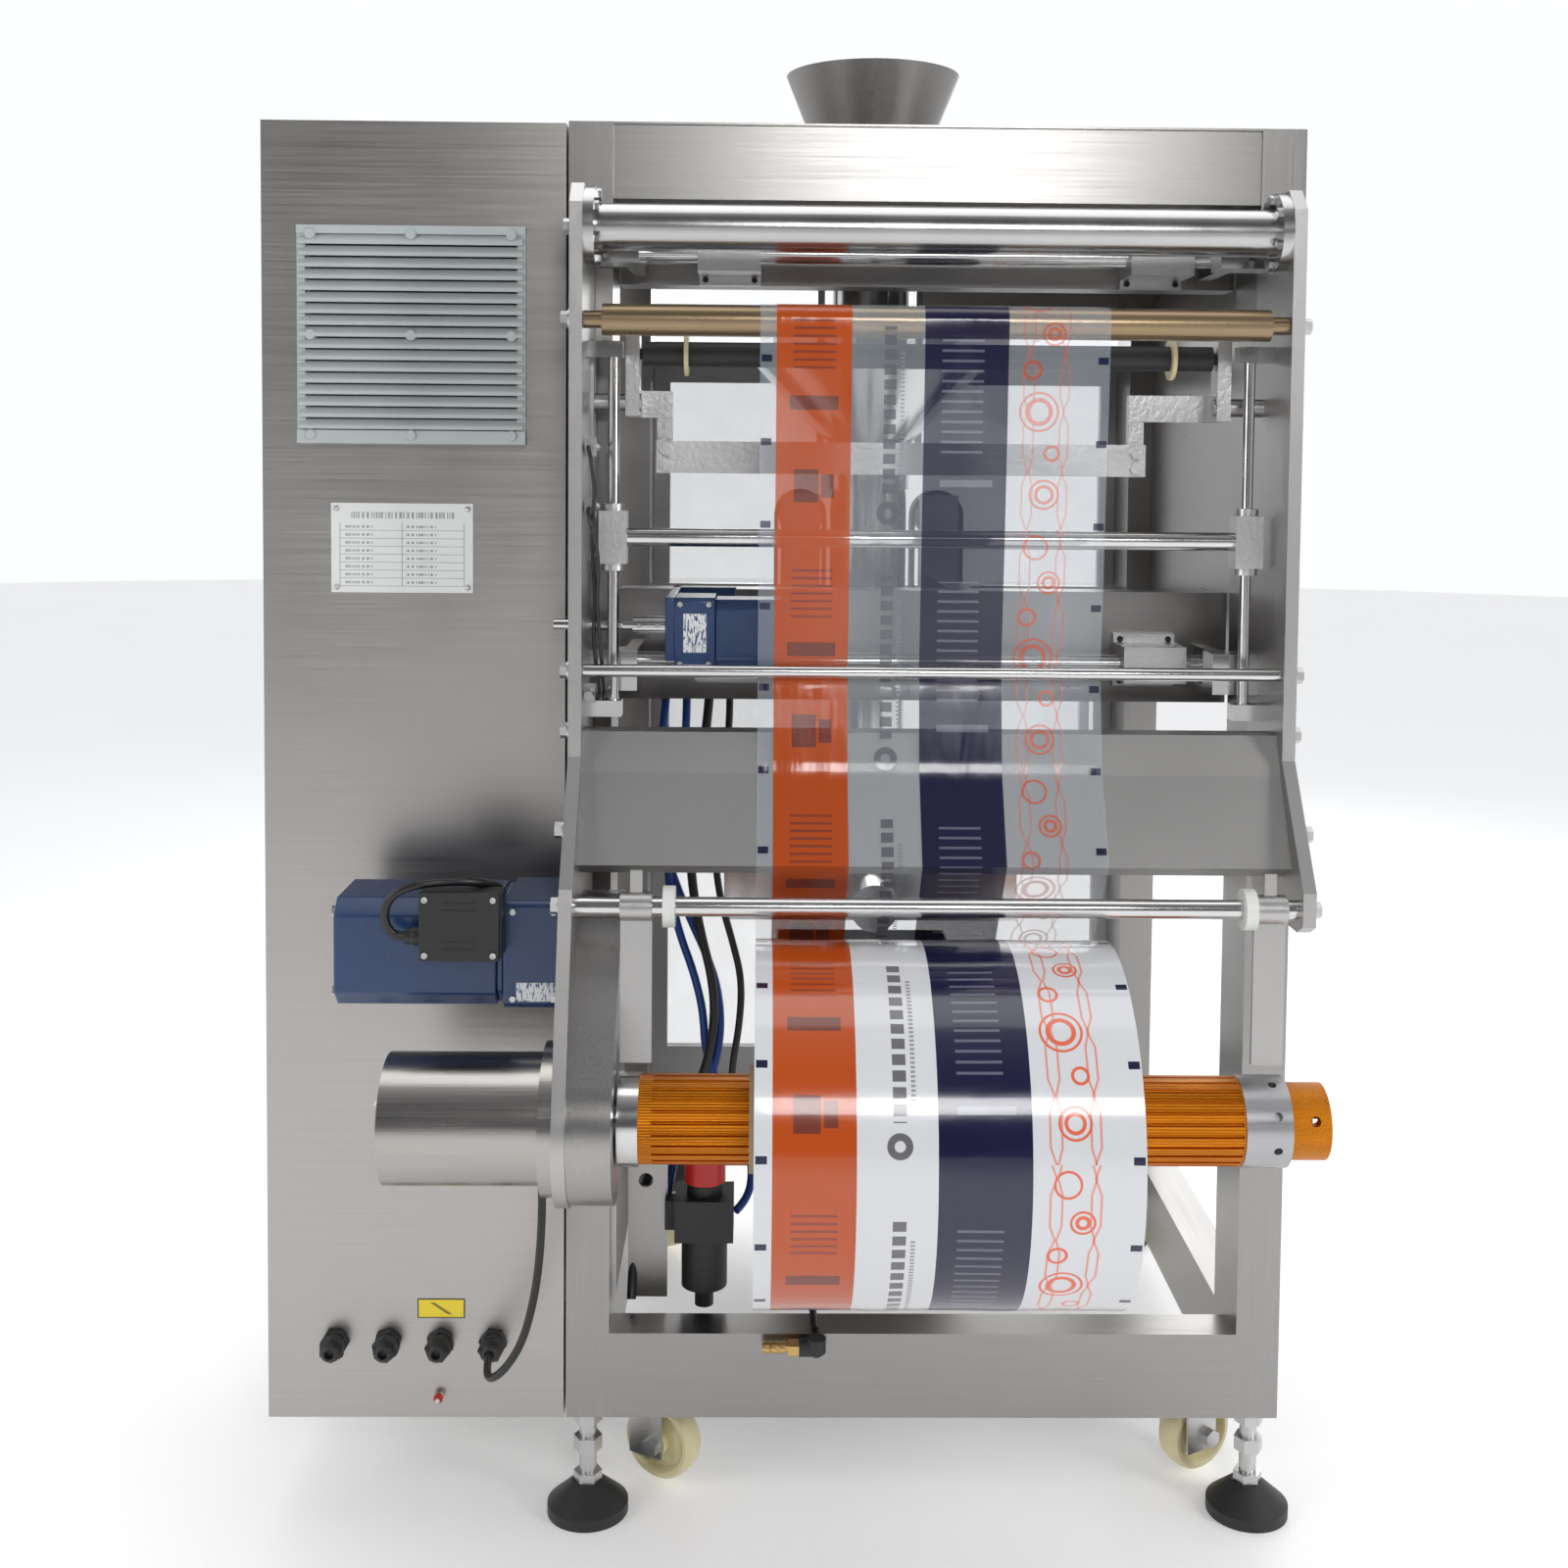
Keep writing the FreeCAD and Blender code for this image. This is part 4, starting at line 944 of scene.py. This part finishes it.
# %% [markdown]
# ## The unwind motor
# The motor can is a square bar with large chamfers, and the terminal box on it has a raised lid.  A
# lead leaves the box, loops over it and ends behind it.

# %% Motor details
MOTOR_Y, MOTOR_Z = -95, 574


def prism(bm, centre_y, centre_z, half, corner, first, last):
    """A square bar along x with chamfered corners, half its width and its corner cut in mm."""
    near = half - corner
    corners = ((half, near), (near, half), (-near, half), (-half, near),
               (-half, -near), (-near, -half), (near, -half), (half, -near))
    ring = [(centre_y + y, centre_z + z) for y, z in corners]
    between(bm, *([mm(x, y, z) for y, z in ring] for x in (first, last)))


bm = bmesh.new()
prism(bm, MOTOR_Y, MOTOR_Z, 45.8, 13, -180, -44)
prism(bm, MOTOR_Y, MOTOR_Z, 44, 13, -44, -38.5)
prism(bm, MOTOR_Y, MOTOR_Z, 46, 4, -38.5, 11.5)
motor_blue = enamel("motor_blue", BLUE_PAINT, 0.3)
motor = piece("motor", bm, "film_carriage", motor_blue, round_edges=0.0018)
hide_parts("unwind_motor")
bm = bmesh.new()
for y in (-34, 34):
    for z in (-34, 34):
        hexagon(bm, mm(-180, MOTOR_Y + y, MOTOR_Z + z), (-1, 0, 0), 0.0048, 0.0035, 0.3)
for z in (-36.8, 36.8):
    for x in (-30, 4):
        hexagon(bm, mm(x, MOTOR_Y - 46, MOTOR_Z + z), OUT, 0.003, 0.002)
piece("motor_screws", bm, "film_carriage", zinc)
bm = bmesh.new()
block(bm, mm(-104, MOTOR_Y - 70, 578), mm(-36, MOTOR_Y - 45, 632))
block(bm, mm(-102.5, MOTOR_Y - 75.8, 577), mm(-37.5, MOTOR_Y - 69, 633.8))
for x in (-99.5, -40.5):
    for z in (582, 629.5):
        lathe(bm, [(0, 0.0006), (0.0028, 0.0006), (0.0032, 0)], mm(x, MOTOR_Y - 75.8, z), OUT, 20)
for z in (586, 592, 618, 624):
    block(bm, mm(-84, MOTOR_Y - 76.4, z), mm(-56, MOTOR_Y - 75.6, z + 1.6))
lathe(bm, [(0.0078, 0), (0.0078, 0.006), (0.0068, 0.007), (0.0068, 0.013), (0.004, 0.0135), (0, 0.0135)],
      mm(-104, MOTOR_Y - 60, 594), (-1, 0, 0), 24)
box_black = moulded("box_black", (0.016, 0.016, 0.018), 0.42, 500)
piece("terminal_box", bm, "film_carriage", box_black, round_edges=0.0016)
bm = bmesh.new()
block(bm, mm(-27, MOTOR_Y - 46.5, 535), mm(8, MOTOR_Y - 45.8, 551))
rating = Finish("motor_label")
label_mask = rating.noise(900, 1, (1, 1, 0.2)).above(0.55)
label_finish = rating.set(Base_Color=rating.mix(label_mask, (0.7, 0.71, 0.72, 1), (0.05, 0.09, 0.2, 1)),
                          Roughness=0.3, Coat_Weight=0.3)
piece("motor_label", bm, "film_carriage", label_finish)
motor_places = [
    (-116, -155, 594), (-122, -156, 594), (-129, -158, 598), (-133, -160, 608), (-132, -162, 620),
    (-125, -163, 631), (-112, -163, 637), (-98, -161, 639.5), (-82, -157, 640), (-66, -150, 638.5),
    (-54, -140, 635), (-47, -128, 630), (-44, -116, 624), (-43.5, -108, 619)]
free_lead("motor_lead", [mm(*p) for p in motor_places], 0.0037, "film_carriage", lead_black)

# %% [markdown]
# ## Sensor leads and hoses
# Two thin leads run down the left side plate from the sensors, and a bundle of hoses and wires
# hangs behind the reel from the cross beam to the filter regulator and the bottom rail.

# %% Leads and hoses
hose_black = moulded("hose_black", (0.014, 0.014, 0.016), 0.35, 300)
hose_blue = moulded("hose_blue", (0.01, 0.07, 0.32), 0.3, 300)
RUNS = {
    "sensor_lead_upper": (0.0017, "film_carriage", lead_black, [
        (29, -104, 1000), (29, -112, 1000), (31, -119, 994), (33, -121, 982), (35, -118, 966),
        (34, -114, 948), (32, -110, 925), (33, -108, 900), (35, -106, 872), (33, -102, 846),
        (34, -99, 822), (36, -95, 804), (37, -88, 790), (37, -78, 783), (36, -66, 781)]),
    "sensor_lead_lower": (0.0017, "film_carriage", lead_black, [
        (29, -104, 948), (29, -111, 948), (30, -117, 942), (33, -118, 930), (37, -114, 914),
        (38, -110, 892), (36, -107, 868), (38, -104, 842), (40, -100, 818), (41, -93, 798),
        (41, -82, 787), (40, -70, 783)]),
    "hose_two": (0.004, "machine", hose_blue, [
        (84, 112, 761), (82, 112, 735), (76, 112, 700), (74, 114, 660), (80, 116, 620), (92, 118, 580),
        (108, 120, 540), (124, 122, 505), (136, 124, 470), (140, 122, 430), (134, 118, 392),
        (120, 112, 358), (104, 104, 330), (94, 96, 302), (90, 88, 280), (88.5, 78, 268)]),
    "hose_three": (0.004, "machine", hose_blue, [
        (104, 114, 761), (104, 114, 730), (100, 112, 690), (92, 110, 650), (86, 112, 610),
        (88, 116, 566), (98, 120, 524), (112, 122, 486), (122, 122, 446), (124, 118, 404),
        (146, 112, 360), (168, 104, 322), (172, 94, 290), (166, 82, 272), (156, 72, 266)]),
    "wire_one": (0.0045, "machine", hose_black, [
        (126, 110, 761), (124, 108, 730), (116, 104, 690), (110, 102, 650), (108, 104, 610),
        (112, 108, 566), (120, 110, 524), (130, 112, 486), (134, 112, 446), (128, 110, 404),
        (116, 106, 372), (98, 102, 340), (80, 98, 310), (66, 92, 282), (58, 84, 240), (56, 76, 200),
        (56, 66, 181)]),
    "wire_two": (0.0035, "machine", hose_black, [
        (146, 112, 761), (146, 112, 728), (140, 110, 690), (134, 108, 648), (132, 110, 606),
        (138, 112, 560), (150, 114, 520), (160, 114, 480), (158, 112, 436), (150, 108, 392),
        (152, 104, 350), (166, 100, 312), (186, 92, 284), (206, 80, 252), (220, 62, 224),
        (228, 40, 200), (230, 20, 190), (231, 6, 182)])}
for name, (radius, body, material, places) in RUNS.items():
    free_lead(name, [mm(*p) for p in places], radius, body, material)
print("leads and hoses:", 1 + len(RUNS))

# %% [markdown]
# ## Casters
# A caster's wheel has a rim, a thinner web and a hub, so it is turned from one outline.

# %% Caster wheels
CASTER_TURNS = {"rear_left": 240, "rear_right": -60, "front_left": 20, "front_right": 160}
WHEEL = 0.0375
half = [(0.0052, 0.016), (0.011, 0.016), (0.012, 0.015), (0.0125, 0.006), (0.027, 0.005),
        (0.0285, 0.0115), (0.03, 0.0128), (WHEEL - 0.004, 0.0128), (WHEEL - 0.001, 0.0095), (WHEEL, 0.004)]
outline = [(radius, -along) for radius, along in half] + half[::-1] + [(half[0][0], -half[0][1])]
for side, degrees in CASTER_TURNS.items():
    axis = Vector((math.cos(math.radians(degrees)), math.sin(math.radians(degrees)), 0))
    bm = bmesh.new()
    lathe(bm, outline, middle(f"caster_wheel_{side}"), axis, 64)
    wheel = piece(f"wheel_{side}", bm, f"caster_wheel_{side}", cream)
    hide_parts(f"caster_wheel_{side}")
print("wheels turned:", len(CASTER_TURNS))

# %% [markdown]
# ## Tracking gearmotor and guide discs
# The small gearmotor has the other motor's blue paint, a flange with four screws, a label and two
# clamp screws.  A cream disc stands near each end of the dancer's roller.

# %% Tracking motor
TRACK_Y, TRACK_Z = -36, 838
bm = bmesh.new()
prism(bm, TRACK_Y, TRACK_Z, 31.9, 3, 100, 135.5)
prism(bm, TRACK_Y, TRACK_Z, 29.9, 8, 135.5, 196)
block(bm, mm(92, -68, 814), mm(100, 90, 870))
block(bm, mm(92, 66, 834), mm(152, 90, 870))
track_motor = piece("track_motor", bm, "machine", blue, round_edges=0.0012)
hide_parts("tracking_motor")
bm = bmesh.new()
for z in (-26, 26):
    for x in (105, 130):
        cap_screw(bm, mm(x, TRACK_Y - 31.9, TRACK_Z + z), OUT, 0.0024)
for x in (68, 84):
    cap_screw(bm, mm(x, -44, 843), OUT, 0.0018)
piece("track_screws", bm, "machine", zinc)
bm = bmesh.new()
block(bm, mm(108, TRACK_Y - 32.3, 822), mm(128, TRACK_Y - 31.8, 856))
piece("track_label", bm, "machine", label_finish)
bm = bmesh.new()
for x in (106, 536):
    lathe(bm, [(0.0112, 0), (0.0185, 0), (0.019, 0.0006), (0.019, 0.0034), (0.0185, 0.004),
               (0.0112, 0.004), (0.0112, 0)], mm(x, -30, 1083), (1, 0, 0), 40)
piece("guide_discs", bm, "dancer_roller", cream)
print("tracking motor and guide discs made")

# %% [markdown]
# ## Turned, knurled and cast textures
# A pattern around a shaft needs the angle about its axis.  ARCTAN2 of two of the place's parts
# gives it, and sines of the angle make ribs, or a knurl where two slanted sets cross.

# %% Ribs, knurl and cast skin
def around(f, axis):
    """The angle about a line along x."""
    place = f.place()
    return (f.part(place, 2) - axis.z).math("ARCTAN2", f.part(place, 1) - axis.y)


def ribbed_gold():
    """Extruded and dyed aluminium: fine ribs along the shaft, painted lighter on their tops and darker in
    their grooves as highlight and shade, with random wear streaks.
    """
    f = Finish("ribbed_gold")
    ribs = (around(f, reel_axis) * 96).math("SINE")
    worn = f.noise(60, 4, (0.05, 1, 1))
    # The rib sine lightens the colour on the rib tops and darkens it in the grooves: painted highlight and
    # painted shade. The worn noise adds streaks of wear.
    colour = f.mix(ribs * 0.35 + worn * 0.5, (0.5, 0.12, 0.002, 1), (0.95, 0.38, 0.012, 1))
    return f.set(Base_Color=colour, Metallic=0.8, Roughness=worn * 0.25 + 0.2,
                 Normal=f.bump(ribs, 0.0006, 0.7))


def knurled_gold():
    """A diamond knurl for the fingers, painted darker in its valleys and lighter on its peaks as shade and
    highlight.
    """
    f = Finish("knurled_gold")
    angle = around(f, reel_axis) * 48
    along = f.part(f.place(), 0) * 1500
    height = ((angle + along).math("SINE") * (angle - along).math("SINE")).size()
    # The colour follows the knurl's height: painted shade in the valleys, painted highlight on the peaks.
    return f.set(Base_Color=f.mix(height, (0.42, 0.1, 0.002, 1), (0.95, 0.36, 0.012, 1)), Metallic=0.8,
                 Roughness=height * 0.12 + 0.24, Normal=f.bump(height, 0.0007, 0.8))


def cast_skin(name, tone):
    """Tumbled aluminium with a dimpled skin."""
    f = Finish(name)
    dimples = f.noise(240, 2)
    cloud = f.noise(16, 3)
    colour = f.mix(cloud * 0.6 + dimples * 0.4, grey(tone * 0.8), grey(tone * 1.15))
    return f.set(Base_Color=colour, Metallic=0.9, Roughness=cloud * 0.2 + 0.24,
                 Normal=f.bump(dimples, 0.0006, 0.45))


cast_alloy = cast_skin("cast_alloy", 0.62)
RING_LONG = 0.0385
COLLAR_LONG = 0.0195
BAR_END = 0.027
knob_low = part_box("shaft_knob")[0]
cover_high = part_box("belt_cover")[1]
bar_low, bar_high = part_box("tension_bar")
wear("air_shaft", ribbed_gold())
touch_up("air_shaft", (lambda c: c.x > knob_low.x - RING_LONG, silver),
         (lambda c: c.x < cover_high.x + COLLAR_LONG, bar_chrome))
wear("shaft_knob", knurled_gold())
for name in ("dancer_arm", "tension_bar", "bearing_blocks"):
    wear(name, cast_alloy)
touch_up("tension_bar", (lambda c: bar_low.x + BAR_END < c.x < bar_high.x - BAR_END, bar_chrome))

# %% The cabinet's gear and the operator's screen
PLATE_DEEP = 0.064
gear_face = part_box("control_gear")[0].y + PLATE_DEEP
screen_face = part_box("operator_box")[1].y - 0.0008
plate_grey = moulded("gear_grey", (0.42, 0.43, 0.43), 0.5)
screen = Finish("screen")
panel_glow = screen.noise(3, 2)
screen_glass = screen.set(Base_Color=screen.mix(panel_glow, (0.008, 0.012, 0.02, 1), (0.02, 0.03, 0.05, 1)),
                          Roughness=0.06, Coat_Weight=1.0)
touch_up("control_gear", (lambda c: c.y > gear_face and c.z > 0.9, plate_grey),
         (lambda c: c.y > gear_face and 0.6 < c.z < 0.9, black),
         (lambda c: c.y > gear_face and c.z < 0.6, green))
touch_up("operator_box", (lambda c: c.y > screen_face, screen_glass))
print("textures and small finishes made")

# %% [markdown]
# ## Stage, light and camera
# Metal shows what it reflects, so the world fades from white on the operator side to dark on the film
# side, and five soft lamps stand round the machine on a pale floor.  The camera stands in front of
# the film side, a little above the middle of the machine.

# %% Floor and lamps
bm = bmesh.new()
lathe(bm, [(0, -0.0005), (14, -0.0005)], (0, 0, 0), (0, 0, 1), 64)
floor_mesh = bpy.data.meshes.new("floor")
bm.to_mesh(floor_mesh)
bm.free()
floor = put("floor", floor_mesh)
pale = Finish("pale_floor")
pale_colour = pale.mix(pale.noise(2.0, 3), grey(0.86), grey(0.9))
floor_mesh.materials.append(pale.set(Base_Color=pale_colour, Roughness=0.6, Emission_Color=grey(1.0),
                                     Emission_Strength=0.22))
bpy.context.scene.view_settings.view_transform = "Standard"
world = bpy.data.worlds.new("studio")
bpy.context.scene.world = world
world.use_nodes = True
tree = world.node_tree
way, split, spread, shade = (tree.nodes.new("ShaderNode" + kind)
                             for kind in ("TexCoord", "SeparateXYZ", "MapRange", "Mix"))
background = tree.nodes["Background"]
shade.data_type = "RGBA"
spread.inputs["From Min"].default_value = -0.75
spread.inputs["From Max"].default_value = 0.35
shade.inputs["A"].default_value = (0.1, 0.103, 0.11, 1)
shade.inputs["B"].default_value = (0.97, 0.98, 1.0, 1)
background.inputs["Strength"].default_value = 1.02
tree.links.new(way.outputs["Generated"], split.inputs[0])
tree.links.new(split.outputs["Y"], spread.inputs["Value"])
tree.links.new(spread.outputs["Result"], shade.inputs["Factor"])
tree.links.new(shade.outputs["Result"], background.inputs["Color"])


def lamp(name, place, aim, wide, tall, power):
    """A soft rectangular lamp aimed at a point."""
    data = bpy.data.lights.new(name, "AREA")
    data.shape = "RECTANGLE"
    data.size = wide
    data.size_y = tall
    data.energy = power
    obj = put(name, data)
    obj.location = place
    obj.rotation_euler = (Vector(aim) - Vector(place)).to_track_quat("-Z", "Y").to_euler()


lamp("key", (0.42, -2.9, 1.8), (0.1, 0, 0.9), 0.7, 0.5, 15)
lamp("right_fill", (2.6, -1.9, 1.7), (0, 0, 0.75), 0.6, 1.8, 34)
lamp("left_fill", (-2.4, -1.9, 1.5), (0, 0, 0.7), 0.5, 2.0, 20)
lamp("top", (0, 0.1, 3.2), (0, 0, 0.7), 2.2, 2.2, 20)
lamp("operator_side", (0.6, 3.2, 2.0), (0, 0, 0.7), 1.8, 1.8, 24)
print("lamps placed")

# %% Camera
CAMERA_PLACE = Vector((-0.0294, -1.8178, 0.9839))
YAW, PITCH, ROLL = 0.0139, 0.0526, 0.0088
FOCAL = 40.96
SHIFT = -0.142
forward = Vector((math.sin(YAW) * math.cos(PITCH), math.cos(YAW) * math.cos(PITCH), -math.sin(PITCH)))
level = Vector((math.cos(YAW), -math.sin(YAW), 0))
upright = level.cross(forward)
right = math.cos(ROLL) * level + math.sin(ROLL) * upright
up = -math.sin(ROLL) * level + math.cos(ROLL) * upright
lens = bpy.data.cameras.new("camera")
lens.lens = FOCAL
lens.sensor_width = 36
lens.shift_y = SHIFT
camera = put("camera", lens)
camera.matrix_world = Matrix.Translation(CAMERA_PLACE) @ Matrix((right, up, -forward)).transposed().to_4x4()
bpy.context.scene.camera = camera
print("camera at", tuple(CAMERA_PLACE))
